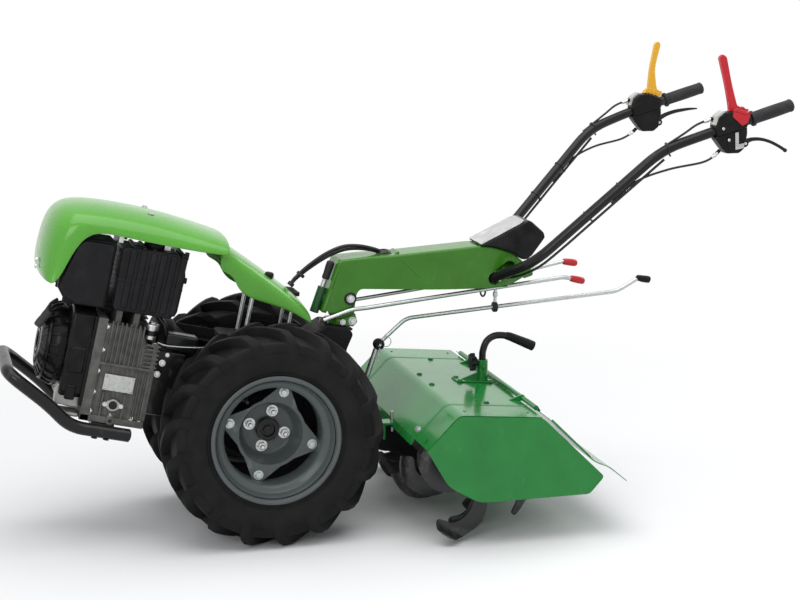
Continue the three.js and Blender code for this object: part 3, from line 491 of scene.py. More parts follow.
def enamel(name, colour, roughness=0.35, coat=0.3, mottle=0.12, wear=0.0):
    """Sprayed paint: a slight orange peel, faint clouding, and dull rubbed places."""
    finish = Finish(name)
    cloud = finish.noise(9, 4).between(0.3, 0.7)
    deep = tuple(c * (1 - mottle) for c in colour)
    shade = finish.blend(cloud, (*deep, 1), (*colour, 1))
    rub = finish.noise(35, 6, (1, 1, 0.6)).between(0.55, 0.75)
    edge = finish.add("ShaderNodeNewGeometry")["Pointiness"].between(0.53, 0.62)
    worn = finish.blend(edge * rub * wear, shade, (0.30, 0.30, 0.29, 1))
    peel = finish.noise(420, 1)
    return finish.end(
        Base_Color=worn, Roughness=roughness + 0.14 * rub, Coat_Weight=coat, Coat_Roughness=0.1,
        Specular_IOR_Level=0.15, Normal=finish.bump(peel, 0.0002, 0.18),
    )


def plated_steel(name, colour=(0.62, 0.63, 0.63), roughness=0.28):
    """Zinc plate: bright, faintly blotched metal."""
    finish = Finish(name)
    blotch = finish.noise(160, 4).between(0.35, 0.7)
    shade = finish.blend(blotch, (*colour, 1), tuple(c * 0.8 for c in colour) + (1,))
    return finish.end(Base_Color=shade, Metallic=1.0, Roughness=roughness + 0.15 * blotch)


rim_enamel = enamel("grey_rim_enamel", (0.092, 0.106, 0.106), 0.4, 0.25, 0.2, 0.5)
bolt_zinc = plated_steel("bolt_zinc")
ear_bolt_zinc = plated_steel("ear_bolt_zinc", (0.55, 0.60, 0.58), 0.45)
black_enamel = enamel("black_enamel", (0.007, 0.007, 0.0075), 0.3, 0.25, 0.2, 0.3)

for side, space in WHEEL_SPACE.items():
    body = f"wheel_{side}"
    finished(
        f"rolled_rim_{side}", rim_mesh(), space, body, rim_enamel, [f"wheel_rim_{side}"],
    )
    finished(f"wheel_disc_{side}", disc_mesh(), space, body, rim_enamel, crease=50)

    ear_bolts, nuts, cap = bmesh.new(), bmesh.new(), bmesh.new()
    for i in range(4):
        angle = EAR_TURN + i * pi / 2
        ring = Vector((0, sin(angle), cos(angle)))
        hexagon_bolt(ear_bolts, ring * EAR_BOLT_RADIUS, (1, 0, 0), 15, 8, 1.1)
        floor_place = ring * NUT_RADIUS + Vector((DISH_FLOOR, 0, 0))
        hexagon_bolt(nuts, floor_place, (1, 0, 0), 19, 13, 1.05)
        spun(nuts, [(2, 0.01), (2, 6), (19, 6), (21, 4.5), (21, 0.01)], "X", 20, floor_place)
    finished(f"ear_bolts_{side}", ear_bolts, space, body, ear_bolt_zinc)
    finished(f"wheel_nuts_{side}", nuts, space, body, bolt_zinc)

    cap_foot = -DISH_DEPTH - 2
    spun(cap, [
        (cap_foot, HUB_HOLE), (cap_foot + 4, 31), (cap_foot + 19, 31), (cap_foot + 23, 29),
        (cap_foot + 24, 26), (cap_foot + 24, 19), (cap_foot + 18, 17), (cap_foot + 18, 0.01),
    ], "X", 40)
    hexagon_bolt(cap, (cap_foot + 17, 0, 0), (1, 0, 0), 22, 7, 0.6)
    valve = Vector((12, VALVE_RADIUS * sin(VALVE_TURN), VALVE_RADIUS * cos(VALVE_TURN)))
    spun(cap, [(0, 0.01), (0, 8), (10, 7), (14, 4.2), (40, 4), (40, 0.01)], "X", 20, valve)
    stub = -TRACK / 2 + 70
    flange = cap_foot - 16
    spun(cap, [
        (stub, 0.01), (stub, 22), (flange, 22), (flange, 62), (flange + 2, 64), (cap_foot + 1.4, 64),
        (cap_foot + 1.4, 0.01),
    ], "X", 48)
    finished(f"hub_cap_{side}", cap, space, body, black_enamel, [f"wheel_hub_{side}"])

# ------------------------------------------------------------------ gearbox castings
# The transmission case with its axle housings, and the bell-shaped clutch housing ahead of it:
# sand castings under rough black paint, with flange joints, stiffening ribs and bolts.

CASE_HALF = 62
CRANK_HEIGHT = 100
HOUSING_END = 122
ENGINE_REAR = -318
BELL_RIBS = 10
CASE_OUTLINE = [
    (-150, 205), (-150, -10), (-70, -95), (60, -105), (120, -70), (190, -35), (190, 228), (198, 268),
    (184, 282), (122, 282), (70, 232), (-60, 212),
]


def softened(bm, verts, offset, segments=2, keep=None):
    """Rounds the edges of a fresh solid; keep says which edges, by their two ends."""
    edges = [
        e for e in edges_of(verts)
        if len(e.link_faces) == 2 and e.calc_face_angle(0) > 0.3 and (keep is None or keep(e))
    ]
    bevelled(bm, edges, offset, segments, clamp=True)


def slab(bm, outline, x0, x1, soft=0.0, segments=2):
    """A flat (y, z) outline drawn out between x0 and x1, with its edges rounded by soft."""
    x0, x1 = sorted((x0, x1))
    shape = bmesh.new()
    shape.faces.new([shape.verts.new((x0, y, z)) for y, z in outline])
    thickened(shape, (x1 - x0, 0, 0))
    bmesh.ops.recalc_face_normals(shape, faces=shape.faces)
    if soft:
        softened(shape, shape.verts, soft, segments)
    added(bm, shape)


def box(bm, low, high, soft=0.0, segments=2, matrix=Matrix.Identity(4)):
    """A block between two opposite corners, with rounded edges."""
    shape = bmesh.new()
    low, high = (Vector([*map(pick, low, high)]) for pick in (min, max))
    size = Matrix.Diagonal((*(high - low), 1))
    bmesh.ops.create_cube(shape, size=1, matrix=Matrix.Translation((low + high) / 2) @ size)
    if soft:
        softened(shape, shape.verts, soft, segments)
    added(bm, shape, matrix)


def rod(bm, start, end, radius, segments=24, soft=0.0):
    """A round bar between two points, with its end edges rounded by soft."""
    start, end = Vector(start), Vector(end)
    run = end - start
    shape = bmesh.new()
    where = Matrix.Translation((start + end) / 2) @ run.to_track_quat("Z", "X").to_matrix().to_4x4()
    bmesh.ops.create_cone(
        shape, cap_ends=True, segments=segments, radius1=radius, radius2=radius, depth=run.length,
        matrix=where,
    )
    if soft:
        softened(shape, shape.verts, soft, 3)
    added(bm, shape)


def corner_arc(before, corner, after, reach, steps):
    """The curve that cuts a corner off, from reach before it to reach past it."""
    a = corner + (before - corner).normalized() * reach
    b = corner + (after - corner).normalized() * reach
    shares = [k / steps for k in range(steps + 1)]
    return [a.lerp(corner, t).lerp(corner.lerp(b, t), t) for t in shares]


def tube(bm, points, radius, bend=0.0, sides=8, smooth=False, radii=None):
    """A bent tube with closed ends: straight runs with rounded corners, or one smooth curve."""
    points = [Vector(p) for p in points]
    path = smooth_chain(points, 8) if smooth else points
    if bend and not smooth:
        path = [points[0]]
        for before, corner, after in zip(points, points[1:], points[2:]):
            reach = min(bend, (before - corner).length / 2.1, (after - corner).length / 2.1)
            path += corner_arc(before, corner, after, reach, 6)
        path.append(points[-1])
    data = bpy.data.curves.new("tube", "CURVE")
    data.dimensions = "3D"
    data.bevel_depth = radius
    data.bevel_resolution = sides // 2
    data.use_fill_caps = True
    line = data.splines.new("POLY")
    line.points.add(len(path) - 1)
    for i, (spot, place) in enumerate(zip(line.points, path)):
        spot.co = (*place, 1)
        if radii:
            share = i / (len(path) - 1) * (len(radii) - 1)
            low = min(int(share), len(radii) - 2)
            spot.radius = radii[low] + (radii[low + 1] - radii[low]) * (share - low)
    carrier = bpy.data.objects.new("tube", data)
    mesh = bpy.data.meshes.new_from_object(carrier)
    bm.from_mesh(mesh)
    bmesh.ops.remove_doubles(bm, verts=bm.verts, dist=0.001)
    bpy.data.objects.remove(carrier)
    bpy.data.curves.remove(data)
    bpy.data.meshes.remove(mesh)


def cast_metal(name, colour, metallic, roughness, grain=1.0):
    """A sand casting: pitted skin, random patches of grime, and painted shade that darkens its hollows."""
    finish = Finish(name)
    grime = finish.noise(45, 5).between(0.35, 0.7)
    # Painted shade: the colour goes darker wherever the surface is hollow, as if shade fell there.
    painted_hollow_shade = 1 - finish.add("ShaderNodeNewGeometry")["Pointiness"].between(0.42, 0.52)
    # This dark colour serves both the grime patches and the painted shade in the hollows.
    dark = tuple(c * 0.45 for c in colour)
    shade = finish.blend((0.55 * grime + 0.5 * painted_hollow_shade).between(0, 1), (*colour, 1), (*dark, 1))
    sand = finish.noise(700, 4) + 0.8 * finish.noise(160, 3)
    return finish.end(
        Base_Color=shade, Metallic=metallic, Roughness=roughness + 0.12 * grime, Specular_IOR_Level=0.15,
        Normal=finish.bump(sand, 0.0006 * grain, 0.5),
    )


black_casting = cast_metal("black_casting", (0.009, 0.009, 0.009), 0.0, 0.5)

case = bmesh.new()
slab(case, CASE_OUTLINE, -CASE_HALF, CASE_HALF, 7, 3)
box(case, (-CASE_HALF - 5, -9, -92), (CASE_HALF + 5, 9, 214), 3)
for y in (-120, -80, 60, 110, 150):
    box(case, (-CASE_HALF - 4, y - 3, -60), (CASE_HALF + 4, y + 3, 200), 2)
for z in (150, 185):
    box(case, (-CASE_HALF - 6, 40, z), (CASE_HALF + 6, 186, z + 6), 2)
for sign in (1, -1):
    spun(case, [
        (sign * (CASE_HALF - 2), 66), (sign * (CASE_HALF + 10), 66), (sign * (CASE_HALF + 13), 58),
        (sign * (CASE_HALF + 18), 46), (sign * (HOUSING_END - 12), 43), (sign * (HOUSING_END - 10), 52),
        (sign * HOUSING_END, 52), (sign * HOUSING_END, 23),
    ], "X", 40)
    for i in range(6):
        angle = i * pi / 3
        place = (sign * (CASE_HALF + 10), 57 * sin(angle), 57 * cos(angle))
        hexagon_bolt(case, place, (sign, 0, 0), 13, 8)
rod(case, (-20, 40, 210), (-20, 60, 262), 14, 24, 2)
rod(case, (28, 150, 280), (28, 150, 283.5), 20, 24, 1)
box(case, (-48, 118, 276), (48, 196, 282), 2)
finished(
    "gearbox_casting", case, TRACTOR, "tractor", black_casting, ["transmission_case"],
)

bell = bmesh.new()
spun(bell, smooth_chain([
    (-150.3, 30), (-150.4, 84), (-162, 85), (-190, 86), (-235, 92), (-262, 104), (-278, 117), (-317.6, 118),
], 3) + [Vector((-317.6, 30))], "Y", 64, (0, 0, CRANK_HEIGHT))
for i in range(BELL_RIBS):
    rib = bmesh.new()
    box(rib, (-3, -300, 84), (3, -158, 108), 2)
    turned = Matrix.Translation((0, 0, CRANK_HEIGHT)) @ Matrix.Rotation(2 * pi * i / BELL_RIBS, 4, "Y")
    added(bell, rib, turned)
    spot = turned @ Matrix.Rotation(pi / BELL_RIBS, 4, "Y") @ Vector((0, -300, 112))
    hexagon_bolt(bell, spot, (0, 1, 0), 13, 8)
finished("clutch_bell", bell, TRACTOR, "tractor", black_casting, ["clutch_housing"])

# ------------------------------------------------------------------ engine block
# A small air-cooled diesel. Its crankcase is a grey sand casting with cooling fins down the upper
# side, a plain base flange, a blank rating plate on four rivets, and an oval two-bolt cover.

CRANKCASE_LEFT = 140
CRANKCASE_RIGHT = -125
BLOCK_FRONT = -482
BLOCK_BOTTOM = -55
BLOCK_TOP = 165
SHOULDER = 212

# Through cast_metal, these castings carry painted shade in their hollows as well as grime.
grey_casting = cast_metal("grey_casting", (0.120, 0.120, 0.113), 0.5, 0.5)
pale_casting = cast_metal("pale_casting", (0.42, 0.42, 0.40), 0.6, 0.45, 0.6)

crankcase = bmesh.new()
slab(crankcase, [
    (BLOCK_FRONT + 2, BLOCK_BOTTOM + 4), (ENGINE_REAR - 4, BLOCK_BOTTOM + 4),
    (ENGINE_REAR - 4, BLOCK_TOP - 14), (ENGINE_REAR - 30, BLOCK_TOP - 6), (-368, SHOULDER - 12),
    (BLOCK_FRONT + 2, SHOULDER - 12),
], CRANKCASE_RIGHT + 6, CRANKCASE_LEFT - 8, 5, 3)
front_foot = (CRANKCASE_RIGHT, BLOCK_FRONT, BLOCK_BOTTOM)
rear_foot = (CRANKCASE_RIGHT, ENGINE_REAR - 14, BLOCK_BOTTOM)
box(crankcase, front_foot, (CRANKCASE_LEFT, ENGINE_REAR, BLOCK_BOTTOM + 18), 2.5)
box(crankcase, front_foot, (CRANKCASE_LEFT, BLOCK_FRONT + 25, SHOULDER), 2.5)
box(crankcase, rear_foot, (CRANKCASE_LEFT - 3, ENGINE_REAR, BLOCK_TOP), 2.5)
for face, inward in ((CRANKCASE_LEFT, -1), (CRANKCASE_RIGHT, 1)):
    root, sunk = face + inward * 9, face + inward * 2
    for i in range(8):
        y = -446 + i * 11.5
        box(crankcase, (root, y, 100), (face, y + 4, SHOULDER - 4), 1.2)
    for i in range(5):
        y = -352 + i * 8
        box(crankcase, (root, y, -34), (sunk, y + 3, 96), 1)
    for i in range(9):
        y = -452 + i * 12
        box(crankcase, (root, y, -34), (face + inward * 5, y + 3, 96), 1)
    for i in range(6):
        z = 104 + i * 11
        box(crankcase, (face + inward * 10, -352, z), (face + inward, ENGINE_REAR + 4, z + 5), 1.5)
    box(crankcase, (root, -460, 94), (sunk, ENGINE_REAR, 101), 1.5)
    for y in (-433, -378):
        box(crankcase, (root, y - 3, -40), (sunk, y + 3, 26), 1.5)
    rod(crankcase, (face + inward * 6, -404, -46), (face + inward * -3, -404, -46), 11, 28, 1.5)
    for y in (-440, -360):
        rod(crankcase, (face + inward * 20, y, -38), (face + inward * 20, y, -22), 9, 20, 1.5)
box(crankcase, (-72, BLOCK_FRONT + 8, 150), (16, -338, 200), 3)
for i in range(15):
    z = 205 + i * 12.3
    box(crankcase, (-70, BLOCK_FRONT + 8, z), (14, -338, z + 4), 1.5)
box(crankcase, (-60, BLOCK_FRONT + 18, 190), (4, -348, 388), 3)
for y in (-440, -395):
    box(crankcase, (40, y, BLOCK_TOP), (126, y + 16, 235.7), 2)
finished(
    "crankcase_casting", crankcase, TRACTOR, "tractor", grey_casting,
    ["engine_block"],
)

COVER_STEPS = 40
fittings = bmesh.new()
cover = bmesh.new()
for i in range(COVER_STEPS):
    angle = 2 * pi * i / COVER_STEPS
    reach = 15 + 9 * abs(sin(angle)) ** 6
    cover.verts.new((0, reach * sin(angle), 15 * cos(angle)))
bmesh.ops.contextual_create(cover, geom=cover.verts[:])
thickened(cover, (6, 0, 0))
added(fittings, cover, Matrix.Translation((CRANKCASE_LEFT - 6, -404, -5)))
slab(fittings, [
    (-486, -30), (-545, -30), (-548, -22), (-548, 22), (-540, 26), (-486, -4),
], 78, 116, 3)
box(fittings, (60, -540, -54), (124, BLOCK_FRONT - 1, -44), 3)
finished("engine_foot", fittings, TRACTOR, "tractor", pale_casting)

hardware = bmesh.new()
for y in (-425, -383):
    hexagon_bolt(hardware, (CRANKCASE_LEFT - 1, y, -5), (1, 0, 0), 10, 5, 0.8)
for y in (-460, -404, -350, -328):
    hexagon_bolt(hardware, (CRANKCASE_LEFT - 12, y, BLOCK_BOTTOM + 18), (0, 0, 1), 12, 9)
for z in (-30, 20, 75, 130, 190):
    hexagon_bolt(hardware, (CRANKCASE_LEFT - 13, BLOCK_FRONT + 25, z), (0, 1, 0), 12, 8)
rod(hardware, (110, -342, 196), (110, -342, 214), 18, 32, 3)
rod(hardware, (110, -342, 174), (110, -342, 184), 16, 32, 1)
hexagon_bolt(hardware, (110, -342, 212), (0, 0, 1), 17, 6, 0.9)
tube(hardware, [
    (112, -320, 168), (116, -290, 165), (112, -215, 172), (90, -150, 180),
], 2, sides=6, smooth=True)
for place in ((118, -326, 158), (124, -300, 120), (118, -306, 88), (112, -290, 140)):
    hexagon_bolt(hardware, place, (1, 0, 0.2), 11, 9)
    rod(hardware, place, Vector(place) + Vector((-30, 0, -4)), 4, 12)
finished("engine_bolts", hardware, TRACTOR, "tractor", bolt_zinc)

dark_parts = bmesh.new()
rod(dark_parts, (CRANKCASE_LEFT - 2, -404, -5), (CRANKCASE_LEFT + 1.5, -404, -5), 11, 32, 1)
rod(dark_parts, (CRANKCASE_LEFT + 1, -404, -46), (CRANKCASE_LEFT + 3.6, -404, -46), 5, 20, 0.5)
rod(dark_parts, (110, -342, 184), (110, -342, 197), 17, 32, 1)
box(dark_parts, (96, ENGINE_REAR + 0.6, -20), (116, -240, 150), 6)
box(dark_parts, (60, -300, 150), (108, -215, 196), 8, 3)
tube(dark_parts, [(100, -300, 190), (105, -310, 215), (96, -330, 232)], 6, sides=8, smooth=True)
finished("engine_rubbers", dark_parts, TRACTOR, "tractor", black_enamel)

PLATE_FRONT, PLATE_REAR = -439, -361
PLATE_LOW, PLATE_HIGH = 31, 73
RIVET_INSET = 5
plate = bmesh.new()
box(
    plate, (CRANKCASE_LEFT - 5, PLATE_FRONT, PLATE_LOW),
    (CRANKCASE_LEFT - 0.5, PLATE_REAR, PLATE_HIGH), 1.2,
)
for y in (PLATE_FRONT + RIVET_INSET, PLATE_REAR - RIVET_INSET):
    for z in (PLATE_LOW + RIVET_INSET, PLATE_HIGH - RIVET_INSET):
        spot = (CRANKCASE_LEFT - 0.6, y, z)
        spun(plate, [(0, 2.6), (0.9, 2.2), (1.6, 1.2), (1.8, 0.01)], "X", 14, spot)
finished("blank_rating_plate", plate, TRACTOR, "tractor", plated_steel(
    "plate_aluminium", (0.50, 0.51, 0.49), 0.42,
))

# ------------------------------------------------------------------ cooling cowl and recoil starter
# A pressed black fan shroud on the engine's nose, with the pull starter's finned drum in front of
# it and the grey pull handle parked in its guide.

COWL_REAR = BLOCK_FRONT - 0.3
COWL_FRONT = COWL_REAR - 62
STARTER_PLACE = (8, COWL_FRONT - 0.3, CRANK_HEIGHT + 5)
STARTER_FINS = 24


def moulded(name, colour, roughness=0.45, grain=0.3, scale=900):
    """Moulded plastic: a fine leathery grain and a little scuffing."""
    finish = Finish(name)
    scuff = finish.noise(30, 5).between(0.45, 0.75)
    shade = finish.blend(scuff, (*colour, 1), tuple(min(1, c * 1.35 + 0.004) for c in colour) + (1,))
    skin = finish.noise(scale, 2)
    shine = min(0.4, 0.13 + 0.5 * max(colour))
    return finish.end(
        Base_Color=shade, Roughness=roughness + 0.12 * scuff, Specular_IOR_Level=shine,
        Normal=finish.bump(skin, 0.0003, grain),
    )


gloss_black = moulded("gloss_black_plastic", (0.006, 0.006, 0.0065), 0.24, 0.1)
matt_black = moulded("matt_black_plastic", (0.009, 0.009, 0.010), 0.55, 0.4)

cowl = bmesh.new()
outline = [
    (-118, 8), (-85, -22), (95, -22), (132, 8), (136, 150), (122, 214), (60, 226), (18, 228), (0, 252),
    (-80, 252), (-118, 200),
]
turn_to_front = Matrix(((0, 1, 0, 0), (1, 0, 0, 0), (0, 0, 1, 0), (0, 0, 0, 1)))
shroud = bmesh.new()
slab(shroud, outline, COWL_FRONT, COWL_REAR, 9, 4)
added(cowl, shroud, turn_to_front)
box(cowl, (120, COWL_FRONT + 10, 60), (138, COWL_REAR - 12, 128), 7, 3)
box(cowl, (122, COWL_FRONT + 16, -10), (137, COWL_REAR - 20, 30), 5, 3)
box(cowl, (120, COWL_REAR - 8, -20), (139, COWL_REAR, 212), 2)
box(cowl, (-120, COWL_REAR - 8, -20), (138, COWL_REAR, 210), 2)
finished("fan_shroud", cowl, TRACTOR, "tractor", gloss_black, ["cooling_cowl"])

drum = bmesh.new()
spun(drum, smooth_chain([
    (0, 20), (0, 104), (-3, 106), (-18, 105), (-30, 100), (-46, 89), (-50, 84), (-56, 70), (-60, 62),
], 3) + [Vector((-61, 40)), Vector((-58, 38)), Vector((-57, 0.01))], "Y", 72, STARTER_PLACE)
for i in range(STARTER_FINS):
    fin = bmesh.new()
    slab(fin, [
        (-2, 96), (-2, 108), (-20, 108.5), (-34, 104), (-49, 92), (-57, 74), (-59, 60), (-50, 60),
    ], -2, 2, 0.8)
    turned = Matrix.Rotation(2 * pi * (i + 0.5) / STARTER_FINS, 4, "Y")
    added(drum, fin, Matrix.Translation(STARTER_PLACE) @ turned)
for hoop, steps in (
    ([(-10, 104), (-10, 109), (-15, 109), (-15, 104)], 72),
    ([(-40, 90), (-41, 98), (-46, 96), (-46, 86)], 72),
    ([(-57, 30), (-61.6, 30), (-61.6, 24), (-57, 24)], 48),
):
    spun(drum, hoop, "Y", steps, STARTER_PLACE)
for i in range(4):
    angle = pi / 4 + i * pi / 2
    foot = Vector(STARTER_PLACE) + Vector((104 * sin(angle), -2, 104 * cos(angle)))
    rod(drum, foot + Vector((0, 2, 0)), foot + Vector((0, -8, 0)), 9, 20, 2)
    hexagon_bolt(drum, foot + Vector((0, -8, 0)), (0, -1, 0), 10, 6)
rope_mouth = Vector((70, COWL_FRONT - 56, 168))
tube(drum, [
    (44, COWL_FRONT - 30, 148), (60, COWL_FRONT - 50, 160), rope_mouth,
], 9, sides=10, smooth=True)
finished("starter_drum", drum, TRACTOR, "tractor", gloss_black, ["recoil_starter"])

pull = bmesh.new()
handle_top = Vector((78, COWL_FRONT - 54.3, 198))
handle_foot = Vector((78, COWL_FRONT - 78.3, 152))
along = (handle_foot - handle_top).normalized()
waist = [handle_top.lerp(handle_foot, share) for share in (0.3, 0.5, 0.7)]
tube(
    pull, [handle_top, handle_top + along * 4, *waist, handle_foot - along * 4, handle_foot],
    11, sides=16, radii=[0.72, 0.95, 1.0, 0.94, 1.0, 0.95, 0.72],
)
rod(pull, rope_mouth, waist[1], 2.5, 10)
finished("pull_handle", pull, TRACTOR, "tractor", moulded(
    "grey_handle_plastic", (0.045, 0.045, 0.047), 0.6, 0.5,
), ["starter_handle"])

# ------------------------------------------------------------------ air cleaner, tank and silencer
# The air cleaner's matt cover, the blow-moulded fuel tank with its upright ribs, and on the far
# side the silencer inside its slotted guard.

cleaner = bmesh.new()
slab(cleaner, [
    (-472, 234), (-545, 232), (-580, 244), (-598, 268), (-596, 300), (-585, 340), (-574, 385), (-560, 402),
    (-480, 406), (-472, 398),
], 24, 132, 12, 5)
slab(cleaner, [
    (-480, 240), (-545, 238), (-576, 250), (-592, 272), (-590, 302), (-579, 342), (-569, 380), (-555, 395),
    (-484, 398), (-480, 392),
], 100, 150, 14, 5)
slab(cleaner, [(-476, 236), (-600, 262), (-598, 300), (-572, 398), (-476, 404)], 92, 97, 2)
rod(cleaner, (90, -560, 226), (90, -560, 240), 16, 24, 2)
tube(cleaner, [
    (120, -590, 236), (128, -606, 222), (118, -604, 206), (100, -590, 200),
], 4, sides=8, smooth=True)
finished(
    "air_cleaner_cover", cleaner, TRACTOR, "tractor", matt_black, ["air_cleaner"], 50,
)

TANK_LEFT = 148
tank = bmesh.new()
slab(tank, [
    (-448, 237), (-308, 237), (-292, 254), (-290, 352), (-296, 380), (-316, 405), (-452, 400), (-460, 390),
    (-456, 246),
], 24, TANK_LEFT - 5, 14, 5)
for i in range(6):
    y = -438 + i * 25
    slab(tank, [
        (y, 246), (y + 17, 246), (y + 17 + i * 0.6, 398), (y + i * 0.6, 397),
    ], 40, TANK_LEFT, 5, 3)
    box(tank, (34, y + 3, 380), (TANK_LEFT - 8, y + 15, 407), 4, 2)
box(tank, (26, -458, 312), (TANK_LEFT - 3, -291, 318), 2)
rod(tank, (84, -370, 400), (84, -370, 416), 30, 40, 3)
rod(tank, (84, -370, 413), (84, -370, 420), 24, 40, 2)
rod(tank, (132, -296, 392), (132, -296, 412), 6, 16, 2)
rod(tank, (132, -289, 340), (132, -284, 340), 8, 16, 1)
finished("ribbed_tank", tank, TRACTOR, "tractor", moulded(
    "tank_plastic", (0.009, 0.009, 0.010), 0.34, 0.35,
), ["fuel_tank"], 50)

SILENCER_X, SILENCER_Z = -113, 300
GUARD_STRIPS = 20
silencer = bmesh.new()
rod(silencer, (SILENCER_X, -470, SILENCER_Z), (SILENCER_X, -320, SILENCER_Z), 33, 48, 8)
for y in (-462, -330):
    spun(silencer, [(-3, 32), (-3, 37), (3, 37), (3, 32)], "Y", 48, (SILENCER_X, y, SILENCER_Z))
for i in range(GUARD_STRIPS):
    strip = bmesh.new()
    box(strip, (-2.6, -460, 33), (2.6, -332, 36.5), 1)
    turned = Matrix.Rotation(2 * pi * i / GUARD_STRIPS, 4, "Y")
    added(silencer, strip, Matrix.Translation((SILENCER_X, 0, SILENCER_Z)) @ turned)
box(silencer, (-92, -444, 281), (-70.5, -396, 329), 3)
tube(silencer, [
    (SILENCER_X, -325, SILENCER_Z), (SILENCER_X, -306, SILENCER_Z), (-128, -290, 296), (-148, -284, 290),
], 12, sides=12, smooth=True)
finished("guarded_silencer", silencer, TRACTOR, "tractor", cast_metal(
    "heat_blackened_steel", (0.03, 0.026, 0.024), 0.3, 0.6, 0.5,
), ["exhaust_silencer"])

# ------------------------------------------------------------------ bumper
# One bent tube round the engine's nose, in satin black, clamped under the crankcase by a strap.

BUMPER_HALF = 145
BUMPER_LEVEL = -75
STRAP_FOOT = -67.3
bumper_side = [
    (BUMPER_HALF, -348, BUMPER_LEVEL), (BUMPER_HALF, -500, BUMPER_LEVEL), (BUMPER_HALF, -560, -30),
    (BUMPER_HALF, -676, 34),
]
bumper = bmesh.new()
tube(bumper, bumper_side + [(-x, y, z) for x, y, z in reversed(bumper_side)], 16.8, 45, 14)
box(bumper, (-BUMPER_HALF, -450, STRAP_FOOT), (BUMPER_HALF, -390, STRAP_FOOT + 12), 2)
for sign in (1, -1):
    rod(bumper, (sign * BUMPER_HALF, -347, BUMPER_LEVEL), (sign * BUMPER_HALF, -345, BUMPER_LEVEL), 12, 24)
    for y in (-435, -405):
        hexagon_bolt(bumper, (sign * 120, y, STRAP_FOOT), (0, 0, -1), 13, 8)
        rod(bumper, (sign * BUMPER_HALF, y, -93), (sign * BUMPER_HALF, y, -95), 8, 16, 0.5)
satin_black = enamel("satin_black_enamel", (0.009, 0.0085, 0.009), 0.34, 0.25, 0.25, 0.3)
finished("bumper_tube", bumper, TRACTOR, "tractor", satin_black, ["front_bumper"])

# ------------------------------------------------------------------ bonnet and rear fairing
# Glossy green moulded covers. The bonnet wraps over the nose and is cut away round the air
# cleaner; the fairing runs down from it over the gearbox to the handlebar, on round stays.

PANEL_WALL = 3
SECTION = ((0, 0), (50, 1.5), (90, 8), (126, 20), (146, 37), (153, 57))
bonnet_rows = (
    ((-640, 279), (-616, 277)), ((-649, 296), (-608, 282)), ((-653, 330), (-597, 300)),
    ((-652, 370), (-587, 335)), ((-649, 404), (-576, 367)), ((-640, 438), (-560, 398)),
    ((-618, 465), (-540, 416)), ((-580, 479), (-515, 423)), ((-520, 485.5), (-480, 424)),
    ((-450, 487), (-430, 422)), ((-380, 485.5), (-370, 421)), ((-310, 479), (-305, 421)),
    ((-245, 471), (-245, 422)), ((-192, 462), (-192, 426)),
)
fairing_rows = (
    ((-212, 440), (-205, 378)), ((-180, 437), (-166, 372)), ((-150, 424), (-152, 350)),
    ((-120, 411), (-134, 330)), ((-85, 395), (-100, 319)), ((-40, 374), (-50, 316)),
    ((0, 355), (0, 308)), ((40, 333), (40, 294)), ((68, 304), (70, 282)),
)


def draped_panel(rows, section, width_at):
    """A crowned skin over a spine: each row goes from one lower edge over the spine to the other."""
    bm = bmesh.new()
    across = 2 * len(section)
    bmesh.ops.create_grid(bm, x_segments=across, y_segments=len(rows) - 1, size=1)
    half, depth = section[-1]
    spine = [Vector(top) for top, _ in rows]
    for vert in bm.verts:
        row = round((vert.co.y + 1) / 2 * (len(rows) - 1))
        column = round((vert.co.x + 1) / 2 * across) - len(section)
        top, edge = spine[row], Vector(rows[row][1])
        ahead = spine[min(row + 1, len(rows) - 1)] - spine[max(row - 1, 0)]
        inward = Vector((ahead.y, -ahead.x)).normalized()
        fall = min(1, 0.86 * (edge - top).dot(inward) / depth)
        wide = width_at(top.x) / half
        if abs(column) == len(section):
            place, x = edge, half * wide
        else:
            x, drop = section[abs(column)]
            place, x = top + inward * drop * fall, x * wide
            share = drop / depth
            slide = (edge - top).dot(ahead.normalized()) * share
            place = place + ahead.normalized() * slide * 0.85
        vert.co = ((x if column > 0 else -x), place.x, place.y)
    bm.normal_update()
    crown = Vector((0, *spine[len(spine) // 2]))
    middle = min(bm.faces, key=lambda f: (f.calc_center_median() - crown).length)
    if middle.normal.z < 0:
        bmesh.ops.reverse_faces(bm, faces=bm.faces)
    return bm


def shelled(piece, wall, levels=2):
    """Gives a moulded skin its wall, growing inwards, and rounds it."""
    solid = piece.modifiers.new("wall", "SOLIDIFY")
    solid.thickness, solid.offset, solid.use_even_offset = wall * MM, -1, False
    if levels:
        smooth = piece.modifiers.new("rounding", "SUBSURF")
        smooth.levels = smooth.render_levels = levels


def moulded_gloss(name, colour):
    """Through-coloured glossy plastic, faintly uneven in its gloss, paler where it is handled."""
    finish = Finish(name)
    cloud = finish.noise(5, 3).between(0.3, 0.7)
    deep = tuple(c * 0.88 for c in colour)
    shade = finish.blend(cloud, (*deep, 1), (*colour, 1))
    haze = finish.noise(60, 5).between(0.45, 0.75)
    ripple = finish.noise(25, 1)
    return finish.end(
        Base_Color=shade, Roughness=0.22 + 0.12 * haze, Coat_Weight=0.35, Coat_Roughness=0.08,
        Specular_IOR_Level=0.2, Normal=finish.bump(ripple, 0.0008, 0.12),
    )


bonnet_green = moulded_gloss("bonnet_green_gloss", (0.092, 0.350, 0.035))
bonnet = draped_panel(bonnet_rows, SECTION, lambda y: 153)
shelled(finished(
    "bonnet_shell", bonnet, TRACTOR, "tractor", bonnet_green, ["engine_bonnet"],
    180, False,
), PANEL_WALL)

FAIRING_SECTION = ((0, 0), (45, 1), (80, 5), (100, 12), (109, 22), (112, 34))
fairing = draped_panel(fairing_rows, FAIRING_SECTION, lambda y: 112 - max(0, y - 20) * 0.36)
shelled(finished(
    "fairing_shell", fairing, TRACTOR, "tractor", bonnet_green, ["rear_fairing"],
    180, False,
), PANEL_WALL)

